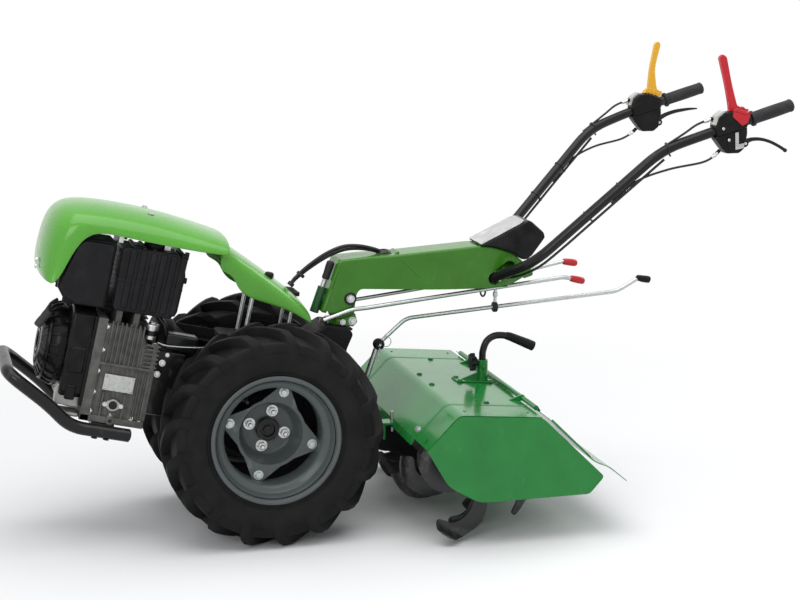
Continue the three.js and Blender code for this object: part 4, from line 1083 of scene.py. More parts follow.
stays = bmesh.new()
for x in (50, -50):
    rod(stays, (x, -90, 385), (x, -88, 208), 5.5, 16, 1)
    rod(stays, (x, 20, 338), (x, 22, 226), 4.5, 16, 1)
for low, high, soft in (
    ((-66, -436, 392), (-44, -424, 482), 2), ((20, -470, 396), (24, -455, 480), 1),
    ((60, -330, 404), (63, -312, 474), 1), ((118, -470, 404), (121, -458, 462), 1),
    ((112, -352, 404), (115, -336, 458), 1),
):
    box(stays, low, high, soft)
hexagon_bolt(stays, (60, -652.5, 316), (0, -1, 0), 9, 5)
hexagon_bolt(stays, (60, -651, 300), (0, -1, 0), 9, 5)
for x in (-60, 60):
    hexagon_bolt(stays, (x, -395, 482.5), (0, 0, 1), 11, 5)
hexagon_bolt(stays, (40, -50, 378), (0, 0.4, 1), 11, 6)
finished("cover_stays", stays, TRACTOR, "tractor", bolt_zinc)

boot = bmesh.new()
spun(boot, [
    (336, 30), (345, 29), (347, 22), (349, 20), (350, 15), (352.6, 13), (352.6, 4),
], "Z", 40, (0, 15, 0))
spun(boot, [(388, 10), (400, 12), (404, 9), (405, 0.01)], "Z", 24, (66, -62, -12))
finished("cable_boot", boot, TRACTOR, "tractor", moulded(
    "boot_rubber", (0.014, 0.014, 0.014), 0.6, 0.4,
))

# ------------------------------------------------------------------ tiller gear case
# A deep cast arm from the transmission's rear flange down to the rotor's shaft, with cover bolts
# round both sides and a collar over each end of the shaft's bearing.

ROTOR_PLACE = Vector((0, 508, 163.588))
FROM_TRACTOR = MACHINE.inverted() @ TRACTOR
ARM_OUTLINE = [
    (206, 312), (266, 270), (345, 252), (440, 250), (505, 232), (550, 205), (562, 163.6), (548, 125),
    (508, 108), (468, 122), (400, 150), (300, 186), (196, 215),
]
COVER_BOLTS = [
    (236, 268), (300, 240), (370, 226), (440, 222), (500, 204), (536, 176), (470, 140), (390, 168),
    (290, 204),
]

arm = bmesh.new()
slab(arm, ARM_OUTLINE, -36, 36, 9, 4)
middle = Vector((400, 200))
inset = [tuple(Vector(p) + (middle - Vector(p)).normalized() * 9) for p in ARM_OUTLINE]
slab(arm, inset, -38, 38, 2)
flange = bmesh.new()
slab(flange, [(190.3, -50), (214, -50), (214, 78), (190.3, 78)], -66, 66, 3)
for x in (-56, 56):
    for z in (-40, 14, 68):
        hexagon_bolt(flange, (x, 214, z), (0, 1, 0), 16, 10)
added(arm, flange, FROM_TRACTOR)
slab(arm, [(468, 220), (560, 190), (560, 340), (468, 348.2)], -30, 30, 2)
for sign in (1, -1):
    spun(arm, [
        (sign * x, r) for x, r in ((37, 46), (42, 46), (44, 43), (44, 31), (40, 30), (40, 22.5))
    ], "X", 48, ROTOR_PLACE)
    for y, z in COVER_BOLTS:
        hexagon_bolt(arm, (sign * 37.5, y, z), (sign, 0, 0), 11, 6, 0.9)
finished("gear_case_arm", arm, MACHINE, "tractor", black_casting, ["tiller_gearcase"])

# ------------------------------------------------------------------ tiller hood
# Three lengths of folded sheet under glossy emerald enamel: the middle hood, and an extension
# with a side plate bolted on at either end. The joints show as thin dark lines.

TILLER_HALF = 400
SEAM = 280
SEAM_GAP = 0.8
SEAM_LIP = 7
LIP_GAUGE = 0.8
SHEET = 3
HOOD_FOLD = [(358, 268), (443, 354), (664, 334)]
SIDE_PLATE = [(443, 354), (664, 334), (838, 163), (798, 119), (499, 119), (417, 167), (358, 268)]


def rounded(points, bends, closed=False):
    """A chain of (y, z) points with its inner corners rounded; bends gives each corner's reach."""
    points = [Vector(p) for p in points]
    count = len(points)
    line = []
    for i, corner in enumerate(points):
        reach = bends[i] if isinstance(bends, list) else bends
        if reach == 0 or (not closed and i in (0, count - 1)):
            line.append(corner)
        else:
            line += corner_arc(points[i - 1], corner, points[(i + 1) % count], reach, 5)
    return line


def folded(points, gauge, bend=16):
    """The outline of a bent sheet: its folds rounded, its wall grown to the right of its path."""
    line = rounded(points, bend)
    inner = []
    for i, spot in enumerate(line):
        ahead = line[min(i + 1, len(line) - 1)] - line[max(i - 1, 0)]
        inner.append(spot + Vector((ahead.y, -ahead.x)).normalized() * gauge)
    return line + inner[::-1]


def hood_top(y):
    """The height of the hood's upper face, between its fold and its rear edge."""
    (fold_y, fold_z), (rear_y, rear_z) = HOOD_FOLD[1:]
    return fold_z - (y - fold_y) * (fold_z - rear_z) / (rear_y - fold_y)


tiller_enamel = enamel("tiller_enamel", (0.012, 0.215, 0.036), 0.2, 0.45, 0.25, 0.15)

hood = bmesh.new()
slab(hood, folded(HOOD_FOLD, SHEET), -SEAM + SEAM_GAP, SEAM - SEAM_GAP, 0.6)
for sign in (1, -1):
    slab(hood, folded(HOOD_FOLD, -LIP_GAUGE), sign * (SEAM - SEAM_LIP), sign * (SEAM - SEAM_GAP), 0.4)
slab(hood, [(357, 269), (361, 265), (352, 250), (349, 251)], -SEAM + 4, SEAM - 4, 0.5)
for x in (-220, 220):
    slab(hood, [
        (630, 335.6), (663, 333), (679, 332), (681, 342), (675, 349), (666, 348),
    ], x - 4, x + 4, 1)
for x in (70, -70):
    box(hood, (x - 22, 326, 216), (x + 22, 333, 262), 1.5)
    box(hood, (x - 22, 330, 255), (x + 22, 372, 262), 1.5)
finished("middle_hood", hood, MACHINE, "tractor", tiller_enamel, ["tiller_hood"])

for side, sign in SIDES:
    end = bmesh.new()
    seam_edge, outer_face = sign * (SEAM + SEAM_GAP), sign * TILLER_HALF
    slab(end, folded(HOOD_FOLD, SHEET), seam_edge, outer_face, 0.6)
    slab(end, folded(HOOD_FOLD, -LIP_GAUGE), seam_edge, sign * (SEAM + SEAM_LIP), 0.4)
    plate_line = rounded(SIDE_PLATE, [16, 14, 10, 10, 22, 22, 0], True)
    slab(end, plate_line, sign * (TILLER_HALF - SHEET), outer_face, 1.2)
    finished(
        f"hood_end_{side}", end, MACHINE, "tractor", tiller_enamel,
        [f"hood_extension_{side}"],
    )

HOOD_UP = (0, 0.09, 1)
FRONT_SLOPE_UP = (0, -0.711, 0.703)
hood_bolts = bmesh.new()
painted_bolts = bmesh.new()
for sign in (1, -1):
    for x, y in ((258, 560), (60, 470)):
        hexagon_bolt(painted_bolts, (sign * x, y, hood_top(y)), HOOD_UP, 11, 5)
    hexagon_bolt(hood_bolts, (sign * 258, 375, 285.2), FRONT_SLOPE_UP, 13, 7)
    for x, y, z in ((353, 372, 282), (357, 368, 278)):
        rod(painted_bolts, (sign * x, y, z), (sign * x, y - 2, z + 2), 3.5, 16, 0.5)
    for y in (470, 640):
        spot = Vector((sign * (TILLER_HALF - 46), y, hood_top(y)))
        spun(painted_bolts, [(-0.5, 4), (0.8, 3.6), (1.6, 2.4), (1.9, 0.01)], "Z", 18, spot)
rod(hood_bolts, (84, 352, 236), (84, 352, 292), 4, 16, 1)
finished("hood_bolts", hood_bolts, MACHINE, "tractor", bolt_zinc)
finished("painted_hood_bolts", painted_bolts, MACHINE, "tractor", enamel(
    "bolt_enamel", (0.010, 0.120, 0.028), 0.3, 0.5, 0.2, 0.5,
))

# ------------------------------------------------------------------ rear flap
# A folded sheet that hangs on barrels from the hood's lugs and lies on the side plates, with a
# second, lighter leaf bolted along its lower edge.

FLAP_HALF = 398
FLAP_GAUGE = 2
FLAP_PIN = (672, 340)
flap = bmesh.new()
slab(flap, folded([
    (680, 329), (806, 206), (830, 194),
], -FLAP_GAUGE, 10), -FLAP_HALF, FLAP_HALF, 0.5)
slab(flap, folded([
    (800, 214), (812, 203), (854, 184), (900, 145),
], -FLAP_GAUGE, 8), -FLAP_HALF, FLAP_HALF, 0.5)
for x0, x1 in ((-330, -225), (-215, 215), (225, 330)):
    rod(flap, (x0, *FLAP_PIN), (x1, *FLAP_PIN), 6.5, 24, 0.6)
    slab(flap, [(671, 344), (682, 329), (685, 332), (676, 346)], x0, x1, 0.8)
rod(flap, (-334, *FLAP_PIN), (334, *FLAP_PIN), 4, 20, 0.6)
for x in (-396, 396):
    slab(flap, [(690, 322.5), (798, 217), (800, 219.5), (693, 325.5)], x - 2, x + 2, 0.8)
finished("rear_flap_leaves", flap, MACHINE, "flap", tiller_enamel, ["rear_flap"])

flap_bolts = bmesh.new()
for x in (-360, -240, -120, 0, 120, 240, 360):
    hexagon_bolt(flap_bolts, (x, 812, 207), (0, 0.5, 0.87), 11, 5)
for x in (-372, 372):
    for share in (0.28, 0.40, 0.9):
        spot = (x, 680 + 126 * share + 1.5, 329 - 123 * share + 1.5)
        hexagon_bolt(flap_bolts, spot, (0, 0.7, 0.71), 12, 6)
finished("flap_bolts", flap_bolts, MACHINE, "flap", bolt_zinc)

# ------------------------------------------------------------------ depth setting
# The green sleeve on the hood with its scalloped clamp knob, and the black bar through it: a
# curved handle with a thicker, flattened grip above, and the skid foot behind the tines below.

SLEEVE_Y = 632
KNOB_Z = 392
sleeve = bmesh.new()
rod(sleeve, (0, SLEEVE_Y, hood_top(SLEEVE_Y)), (0, SLEEVE_Y, 397.5), 15, 40, 1.5)
slab(sleeve, [(562, 343.5), (626, 338), (626, 366), (616, 362)], -3, 3, 0.8)
slab(sleeve, [(552, 344.6), (655, 335.4), (655, 339), (552, 348.2)], -28, 28, 1)
for x in (-20, 20):
    for y in (562, 646):
        hexagon_bolt(sleeve, (x, y, hood_top(y) + 3.6), HOOD_UP, 11, 5)
hexagon_bolt(sleeve, (14.5, SLEEVE_Y, 380), (1, 0, 0), 10, 5)
finished("depth_sleeve_tube", sleeve, MACHINE, "tractor", tiller_enamel, ["depth_sleeve"])

knob = bmesh.new()
rod(knob, (0, SLEEVE_Y - 15.5, KNOB_Z), (0, SLEEVE_Y - 26, KNOB_Z), 6, 24)
spun(knob, [(SLEEVE_Y - 16, 11), (SLEEVE_Y - 22, 12), (SLEEVE_Y - 24, 18)], "Y", 40, (0, 0, KNOB_Z))
STAR_STEPS, STAR_LOBES = 72, 8
star = bmesh.new()
ring = []
for i in range(STAR_STEPS):
    angle = 2 * pi * i / STAR_STEPS
    reach = 21.5 + 3.8 * cos(STAR_LOBES * angle)
    ring.append((reach * sin(angle), reach * cos(angle)))
slab(star, ring, -35, -22, 2.5, 3)
added(knob, star, Matrix.Translation((0, SLEEVE_Y, KNOB_Z)) @ turn_to_front)
rod(knob, (0, SLEEVE_Y - 34, KNOB_Z), (0, SLEEVE_Y - 36, KNOB_Z), 9, 24, 1)
bmesh.ops.recalc_face_normals(knob, faces=knob.faces)
finished("depth_star_knob", knob, MACHINE, "tractor", matt_black, ["depth_knob"])

bar = bmesh.new()
tube(bar, [
    (0, y, z) for y, z in (
        (735, 38), (690, 52), (650, 95), (SLEEVE_Y + 2, 150), (SLEEVE_Y, 220), (SLEEVE_Y, 330),
        (SLEEVE_Y, 400), (SLEEVE_Y + 2, 424), (645, 449), (668, 462), (700, 460), (730, 448),
    )
], 9.6, sides=12, smooth=True)
finished("depth_bar_tube", bar, MACHINE, "tractor", satin_black, ["depth_bar"])

grip = bmesh.new()
tube(
    grip, [(0, 700, 460), (0, 712, 456.5), (0, 740, 444), (0, 760, 435), (0, 779, 426)],
    13.6, sides=16, smooth=True, radii=[0.78, 0.86, 0.93, 1, 1],
)
softened(grip, grip.verts, 3, 3, lambda e: e.calc_face_angle(0) > 1)
finished("depth_grip", grip, MACHINE, "tractor", matt_black)

# ------------------------------------------------------------------ tine rotor
# One shaft with three flanges a side, each with four sickle tines bolted through it. The tines
# are flat at the root and curl sideways at the tip; soil has rubbed their outer ends bright.

SHAFT = ((46.5, 8), (46.5, 26), (58, 26), (60, 19.8), (348, 19.8), (350, 18), (350, 8))
CHEEK = ((9, 19), (9, 50.5), (8, 51.8), (4, 51.8), (3.8, 40), (3.8, 19))
FLANGE_PLACES = (105, 222, 335)
TINE_BOLTS = 43
TINE_GAUGE = 7
CURL_START = 132
CURL_RADIUS = 27.5
TINE_STEPS = (24, 6)
LEADING = ((34, -72), (60, -60), (90, -49), (118, -37), (145, -22), (168, -11), (190, -6))
TRAILING = ((34, -26), (70, -22), (104, -12), (128, 0), (140, 15), (166, 13), (190, 11))


def sickle(bend):
    """One tine in its own frame, curled to the side that bend gives, with a thinned front edge."""
    bm = bmesh.new()
    long, wide = TINE_STEPS
    chains = [smooth_chain([(r, radians(a)) for r, a in edge], 4) for edge in (LEADING, TRAILING)]
    sheets = []
    for face in (1, -1):
        rows = []
        for u in range(long + 1):
            row = []
            for v in range(wide + 1):
                ends = [c[round(u / long * (len(c) - 1))] for c in chains]
                reach, angle = Vector(ends[0]).lerp(Vector(ends[1]), v / wide)
                curl = min(max(reach - CURL_START, 0) / CURL_RADIUS, pi / 2)
                spare = max(reach - CURL_START - CURL_RADIUS * pi / 2, 0)
                radial = min(reach, CURL_START) + CURL_RADIUS * sin(curl)
                side = CURL_RADIUS * (1 - cos(curl)) + spare
                half = face * TINE_GAUGE / 2 * (0.35 + 0.65 * min(1, 3 * v / wide))
                half *= 1 - 0.4 * (u / long) ** 4
                side += half * cos(curl)
                radial -= half * sin(curl)
                row.append(bm.verts.new((side * bend, -radial * sin(angle), -radial * cos(angle))))
            rows.append(row)
        sheets.append(rows)
    for rows in sheets:
        for a, b in zip(rows, rows[1:]):
            for i in range(wide):
                bm.faces.new((a[i], a[i + 1], b[i + 1], b[i]))
    top, under = sheets
    edge = [(u, 0) for u in range(long + 1)] + [(long, v) for v in range(1, wide + 1)]
    edge += [(u, wide) for u in range(long - 1, -1, -1)] + [(0, v) for v in range(wide - 1, 0, -1)]
    for (u, v), (s, t) in zip(edge, edge[1:] + edge[:1]):
        bm.faces.new((top[u][v], top[s][t], under[s][t], under[u][v]))
    bmesh.ops.recalc_face_normals(bm, faces=bm.faces)
    return bm


def worn_tines():
    """Black paint that gives way to rubbed bright steel and a little dry soil far from the shaft."""
    finish = Finish("worn_tine_steel")
    centred = finish.vector("SUBTRACT", finish.place(), tuple(MACHINE @ ROTOR_PLACE))["Vector"]
    round_shaft = finish.vector("CROSS_PRODUCT", centred, (1, 0, 0))["Vector"]
    away = finish.vector("LENGTH", round_shaft)["Value"]
    rub = (away.between(0.110, 0.168) * finish.noise(90, 5).between(0.35, 0.65)).between(0.25, 0.85)
    shade = finish.blend(rub, (0.009, 0.009, 0.010, 1), (0.10, 0.095, 0.09, 1))
    return finish.end(
        Base_Color=shade, Metallic=0.85 * rub, Roughness=0.38 + 0.14 * rub,
        Normal=finish.bump(finish.noise(240, 4), 0.0006, 0.35),
    )


rotor = bmesh.new()
rotor_bolts = bmesh.new()
for sign in (1, -1):
    spun(rotor, [(sign * x, r) for x, r in SHAFT], "X", 40)
    for row, place in enumerate(FLANGE_PLACES):
        x = sign * place
        spun(rotor, [(x - away, r) for away, r in CHEEK], "X", 48)
        spun(rotor, [(x + away, r) for away, r in CHEEK[::-1]], "X", 48)
        for i in range(4):
            turn = Matrix.Rotation(-radians(90 * i + 30 * (row - 1)), 4, "X")
            added(rotor, sickle(-sign if i % 2 else sign), Matrix.Translation((x, 0, 0)) @ turn)
            for angle in (radians(-60), radians(-36)):
                spot = turn @ Vector((0, -TINE_BOLTS * sin(angle), -TINE_BOLTS * cos(angle)))
                for face in (1, -1):
                    hexagon_bolt(rotor_bolts, (x + face * 9, spot.y, spot.z), (face, 0, 0), 12, 6.5)
settle = Matrix.Translation(ROTOR_PLACE)
bmesh.ops.transform(rotor, matrix=settle, verts=rotor.verts)
bmesh.ops.transform(rotor_bolts, matrix=settle, verts=rotor_bolts.verts)
finished("sickle_tines", rotor, MACHINE, "rotor", worn_tines(), ["tine_rotor"])
finished("tine_bolts", rotor_bolts, MACHINE, "rotor", bolt_zinc)

# ------------------------------------------------------------------ swivel bracket
# The turntable on the gearbox and the block that stands on it between the column's sides, with
# the height pivot bolt, its dark washers and its clamp bolts.

COLUMN_HALF = 50
PIVOT = (248, 597)

column_enamel = enamel("column_enamel", (0.046, 0.205, 0.012), 0.22, 0.35, 0.2, 0.2)

swivel = bmesh.new()
disc = bmesh.new()
spun(disc, [(282.4, 8), (282.4, 36), (291, 36), (293.3, 34), (293.3, 8)], "Z", 56, (0, 160, 0))
added(swivel, disc, FROM_TRACTOR)
slab(swivel, [
    (206, 540), (246, 530), (261, 546), (266, 592), (260, 609), (248, 614.5), (235, 610), (216, 580),
], -40, 40, 5, 3)
rod(swivel, (-54, *PIVOT), (54, *PIVOT), 8, 24)
finished("swivel_post", swivel, MACHINE, "swivel", column_enamel, ["swivel_bracket"])

pivot_bolts = bmesh.new()
for sign in (1, -1):
    hexagon_bolt(pivot_bolts, (sign * 52, *PIVOT), (sign, 0, 0), 19, 7, 0.75)
    rod(pivot_bolts, (sign * 52, *PIVOT), (sign * 60.5, *PIVOT), 5, 20, 0.8)
finished("pivot_bolt", pivot_bolts, MACHINE, "swivel", bolt_zinc)

washers = bmesh.new()
for sign in (1, -1):
    spun(washers, [
        (sign * x, r) for x, r in ((50.3, 9), (50.3, 16), (51, 17), (52.4, 16), (52.4, 9))
    ], "X", 40, (0, *PIVOT))
finished("pivot_washers", washers, MACHINE, "swivel", black_enamel)

# ------------------------------------------------------------------ handlebar column
# A pressed channel, open underneath, with rounded shoulders and a slot in each side where the
# handlebar tubes enter. Its bottom edge sweeps up to a rounded lip at the rear.

COLUMN_TOP = [
    (182, 560.5), (169, 564), (219, 701), (294, 706), (364, 707), (607, 722), (647, 717), (700, 698),
    (755, 654), (762, 634), (735, 626.3),
]
COLUMN_BOTTOM = [
    (735, 626.3), (661, 605), (502, 608), (271, 622), (256, 583), (235, 559), (206, 554), (182, 560.5),
]
SHOULDER_RADIUS = 7
SLOT_FRONT, SLOT_REAR = (648, 631), (690, 661)
SLOT_RADIUS = 17
SLOT_STEPS = 32


def channel_mesh(half, soft):
    """The column's outer skin: both sides, the top and the front, from its two edge chains."""
    bm = bmesh.new()
    top = rounded(COLUMN_TOP, [0, 5, 9, 20, 20, 16, 18, 18, 10, 9, 0])
    bottom = rounded(COLUMN_BOTTOM, [0, 45, 60, 14, 14, 12, 10, 0])[1:-1]
    inward = []
    for i in range(len(top)):
        ahead = top[min(i + 1, len(top) - 1)] - top[max(i - 1, 0)]
        inward.append(Vector((ahead.y, -ahead.x)).normalized())
    rows = []
    turns = [pi / 2 * k / 4 for k in range(5)]
    across = [(half - soft + soft * cos(t), soft * (1 - sin(t))) for t in turns]
    for x, sink in across + [(-x, sink) for x, sink in reversed(across)]:
        rows.append([bm.verts.new((x, *(p + n * sink))) for p, n in zip(top, inward)])
    for a, b in zip(rows, rows[1:]):
        for i in range(len(top) - 1):
            bm.faces.new((a[i], a[i + 1], b[i + 1], b[i]))
    lean = (Vector(SLOT_REAR) - Vector(SLOT_FRONT)).angle_signed(Vector((1, 0)))
    for row in (rows[0], rows[-1]):
        x = row[0].co.x
        lower = [bm.verts.new((x, *p)) for p in bottom]
        hole = []
        for k in range(SLOT_STEPS):
            turn = 2 * pi * k / SLOT_STEPS + pi / 2 + lean
            y, z = SLOT_FRONT if k < SLOT_STEPS / 2 else SLOT_REAR
            hole.append(bm.verts.new((x, y + SLOT_RADIUS * cos(turn), z + SLOT_RADIUS * sin(turn))))
        loop = row + lower
        edges = [bm.edges.get(pair) or bm.edges.new(pair) for pair in zip(loop, loop[1:] + loop[:1])]
        edges += [bm.edges.new((a, b)) for a, b in zip(hole, hole[1:] + hole[:1])]
        bmesh.ops.triangle_fill(bm, use_beauty=True, use_dissolve=False, edges=edges)
    bmesh.ops.recalc_face_normals(bm, faces=bm.faces)
    bm.normal_update()
    crown = max(bm.faces, key=lambda f: f.calc_center_median().z)
    if crown.normal.z < 0:
        bmesh.ops.reverse_faces(bm, faces=bm.faces)
    return bm


column = finished(
    "pressed_column", channel_mesh(COLUMN_HALF, SHOULDER_RADIUS), MACHINE, "handlebar",
    column_enamel, ["handlebar_column"], 40, False,
)
shelled(column, SHEET, 0)
column.modifiers.new("flat_faces", "WEIGHTED_NORMAL").keep_sharp = True

column_trim = bmesh.new()
for sign in (1, -1):
    slab(column_trim, [
        (390, 693), (397, 697), (404, 692), (441, 650), (436, 647),
    ], sign * 49.5, sign * 51.2, 1.1, 3)
slab(column_trim, [(370, 706), (374, 708), (386, 714), (389, 712), (384, 706)], -30, 30, 0.8)
box(column_trim, (-46.5, 652, 605.6), (46.5, 688, 609), 1)
box(column_trim, (-9, 664, 608), (9, 672, 640), 1.5)
slab(column_trim, [
    (206, 541), (236, 545), (262, 556), (268, 532), (256, 520), (226, 528),
], 41, 46, 1.2)
finished("column_brackets", column_trim, MACHINE, "handlebar", column_enamel)

column_zinc = bmesh.new()
hexagon_bolt(column_zinc, (46, 254, 536), (1, 0, 0), 14, 8)
hexagon_bolt(column_zinc, (46, 228, 534), (1, 0, 0), 10, 6)
for x in (-24, 24):
    hexagon_bolt(column_zinc, (x, 620, 721.5), (0, -0.08, 1), 10, 5)
tube(column_zinc, [
    (30, 172, 548), (28, 168, 528), (28, 178, 514), (28, 192, 520), (28, 190, 536),
], 3, sides=8, smooth=True)
finished("column_bolts", column_zinc, MACHINE, "handlebar", bolt_zinc)

# ------------------------------------------------------------------ console
# The moulded instrument pod at the top of the column: a black body with a diagonal fold in its
# side, and a light-grey plate with rounded rear corners along its sloping top.

console = bmesh.new()
slab(console, [
    (606, 723.2), (648, 718), (701, 699), (724, 680), (740, 680), (754, 691), (790, 738), (786, 752),
    (750, 784), (740, 786), (640, 739),
], -56.5, 56.5, 5, 3)
for sign in (1, -1):
    slab(console, [
        (640, 735), (654, 720), (704, 701), (726, 684), (740, 684), (764, 712),
    ], sign * 55, sign * 57, 1.6, 2)
finished("console_body", console, MACHINE, "handlebar", moulded(
    "console_black", (0.012, 0.012, 0.013), 0.28, 0.25,
), ["control_console"])

FACE_START = Vector((0, 609, 726))
FACE_ALONG = Vector((0, 130, 61.5)).normalized()
FACE_UP = Vector((0, -FACE_ALONG.z, FACE_ALONG.y))
face_corners = rounded([(-54, 0), (54, 0), (54, 138), (-54, 138)], [3, 3, 22, 22], True)
face_plate = bmesh.new()
slab(face_plate, face_corners, 0, 2.2, 0.7)
face_matrix = Matrix((
    (FACE_UP.x, 1, FACE_ALONG.x, FACE_START.x), (FACE_UP.y, 0, FACE_ALONG.y, FACE_START.y),
    (FACE_UP.z, 0, FACE_ALONG.z, FACE_START.z), (0, 0, 0, 1),
))
bmesh.ops.transform(face_plate, matrix=face_matrix, verts=face_plate.verts)
finished("console_face", face_plate, MACHINE, "handlebar", moulded(
    "light_grey_plate", (0.46, 0.46, 0.45), 0.4, 0.15, 1500,
))

# ------------------------------------------------------------------ control cables and swing lock
# Three sheathed cables arch from the gearbox over to the column, where they dive through a rubber
# boot; in front of the column stands the plunger that locks the handlebar's swing.


def cable_rubber(name, roughness):
    """Extruded black sheath: smooth and a little shiny, with dusty patches."""
    finish = Finish(name)
    dust = finish.noise(50, 4).between(0.5, 0.8)
    shade = finish.blend(0.4 * dust, (0.012, 0.012, 0.013, 1), (0.06, 0.06, 0.06, 1))
    return finish.end(
        Base_Color=shade, Roughness=roughness + 0.2 * dust, Specular_IOR_Level=0.3,
        Normal=finish.bump(finish.noise(500, 2), 0.0002, 0.2),
    )


sheath = cable_rubber("cable_sheath", 0.3)
cables = bmesh.new()
arch = [
    (99, 635), (112, 650), (146, 676), (194, 705), (240, 722), (280, 724), (320, 717), (352, 706), (372, 694),
]
for x, lift in ((-6, 1), (1, -2), (6, 8)):
    path = []
    for i, (y, z) in enumerate(arch):
        rise = sin(pi * i / (len(arch) - 1))
        path.append((x * (0.7 + 0.7 * rise), y - lift * rise * 0.6, z + lift * rise))
    tube(cables, path, 4.4, sides=10, smooth=True)
rod(cables, (0, 122, 656), (0, 128, 662.5), 12, 24, 2)
rod(cables, (0, 95, 631), (0, 102, 639), 9, 24, 1.5)
box(cables, (-20, 334, 704.5), (20, 370, 709.5), 2.2, 3)
spun(cables, [(700, 20), (710, 20), (716, 13), (716, 8)], "Z", 32, (0, 352, 0))
finished("arched_cables", cables, MACHINE, "handlebar", sheath, ["control_cables"])

LOCK_X = 22
lock = bmesh.new()
rod(lock, (LOCK_X, 154.8, 561), (LOCK_X, 179, 628), 12, 32, 1.5)
box(lock, (LOCK_X - 9, 176, 572), (LOCK_X + 9, 186, 618), 2)
finished("lock_tube", lock, MACHINE, "handlebar", enamel(
    "dark_green_enamel", (0.010, 0.075, 0.020), 0.3, 0.4, 0.2, 0.3,
), ["swing_lock"])

plunger = bmesh.new()
foot, top = Vector((LOCK_X, 179, 628)), Vector((LOCK_X, 204, 697))
rise = (top - foot).normalized()
rod(plunger, foot - rise * 3, foot + rise * 26, 5, 20)
for i in range(7):
    rod(plunger, foot + rise * (2 + 3 * i), foot + rise * (3.6 + 3 * i), 7.4, 24, 0.6)
finished("lock_plunger", plunger, MACHINE, "handlebar", bolt_zinc)

lock_grip = bmesh.new()
tube(
    lock_grip, [foot + rise * k for k in (22, 26, 34, 46, 58, 68, 72)], 11, sides=20,
    radii=[0.8, 0.96, 0.9, 0.95, 1, 0.96, 0.6],
)
finished("lock_grip", lock_grip, MACHINE, "handlebar", cable_rubber("grip_rubber", 0.55))

# ------------------------------------------------------------------ handlebar tubes
# Two satin black tubes rise from the slots in the column and spread to the grips, each with a
# cable lying along its underside, held by ties whose cut ends stick out.

GRIP_X = 282
TUBE_PATH = [
    (20, 635.7, 621.3), (50, 654, 636), (160, 721, 690), (263, 1035, 992), (283, 1167, 1037),
    (282, 1385, 1100),
]
UNDER_PATH = [
    (54, 668, 633), (100, 693, 642), (160, 733, 674), (180, 790, 726), (222, 915, 847), (262, 1040, 966),
]
STEEP, GENTLE = Vector((103, 314, 302)).normalized(), Vector((20, 132, 45)).normalized()
TIES = (((203, 852, 816), STEEP), ((229, 932, 893), STEEP), ((266, 1046, 996), GENTLE))
for side, sign in SIDES:
    handed = MACHINE @ HANDED[sign]
    pipe = bmesh.new()
    tube(pipe, TUBE_PATH, 13.4, 55, 16)
    finished(
        f"bar_tube_{side}", pipe, handed, "handlebar", satin_black,
        [f"handlebar_tube_{side}"],
    )
    ties = bmesh.new()
    tube(ties, UNDER_PATH, 3.4, 40, 10)
    for spot, run in TIES:
        rod(ties, Vector(spot) - run * 2, Vector(spot) + run * 2, 15.6, 24, 0.8)
        down = Vector((0, run.z, -run.y)).normalized()
        tail = Vector(spot) + down * 15
        tube(ties, [tail, tail + down * 9 + run * 2], 2.4, sides=6)
    finished(f"bar_ties_{side}", ties, handed, "handlebar", sheath)

# ------------------------------------------------------------------ control blocks
# A moulded black housing clamped on each tube: a rounded upper shell, a lower body that carries
# the hand lever's pivot, a split line, clamp screws, and pale-grey tabs on the outer face.


def ringed_rubber():
    """Soft black rubber, matt, with a fine pebbled grain."""
    finish = Finish("hand_grip_rubber")
    grain = finish.noise(900, 3) + 0.6 * finish.noise(220, 4)
    scuff = finish.noise(30, 5).between(0.45, 0.8)
    shade = finish.blend(scuff, (0.018, 0.018, 0.02, 1), (0.04, 0.04, 0.042, 1))
    return finish.end(
        Base_Color=shade, Roughness=0.62, Specular_IOR_Level=0.3,
        Normal=finish.bump(grain, 0.0005, 0.4),
    )


block_plastic = moulded("block_plastic", (0.008, 0.008, 0.0085), 0.36, 0.3)
tab_plastic = moulded("pale_tab_plastic", (0.48, 0.48, 0.45), 0.42, 0.2)
hand_rubber = ringed_rubber()
lever_black = enamel("lever_black", (0.007, 0.007, 0.007), 0.3, 0.25, 0.2, 0.2)

LEVER_PATHS = {
    "left": [
        (283, 1250, 1005), (283, 1262, 1009.5), (283, 1280, 1014), (283, 1305, 1013), (283, 1330, 1006),
        (283, 1354, 994.5), (283, 1373, 983),
    ],
    "right": [
        (283, 1250, 1009), (283, 1262, 1017), (283, 1280, 1026), (283, 1305, 1033.5), (283, 1330, 1037.5),
        (283, 1354, 1040), (283, 1377, 1040.5),
    ],
}
LEVER_GIRTHS = {
    "left": [1.15, 1.3, 0.95, 0.85, 0.82, 0.8, 0.85],
    "right": [1.2, 1.3, 1.1, 1.0, 0.9, 0.7, 0.35],
}
CABLE_PATHS = {
    "switch": [(283, 1160, 1071), (281, 1120, 1056), (276, 1085, 1032), (262, 1015, 986)],
    "lever": [
        (283, 1178, 978), (283, 1140, 958), (268, 1050, 940), (242, 971, 907.5), (222.2, 911, 849.8),
    ],
}
BLOCK_HALF = 21
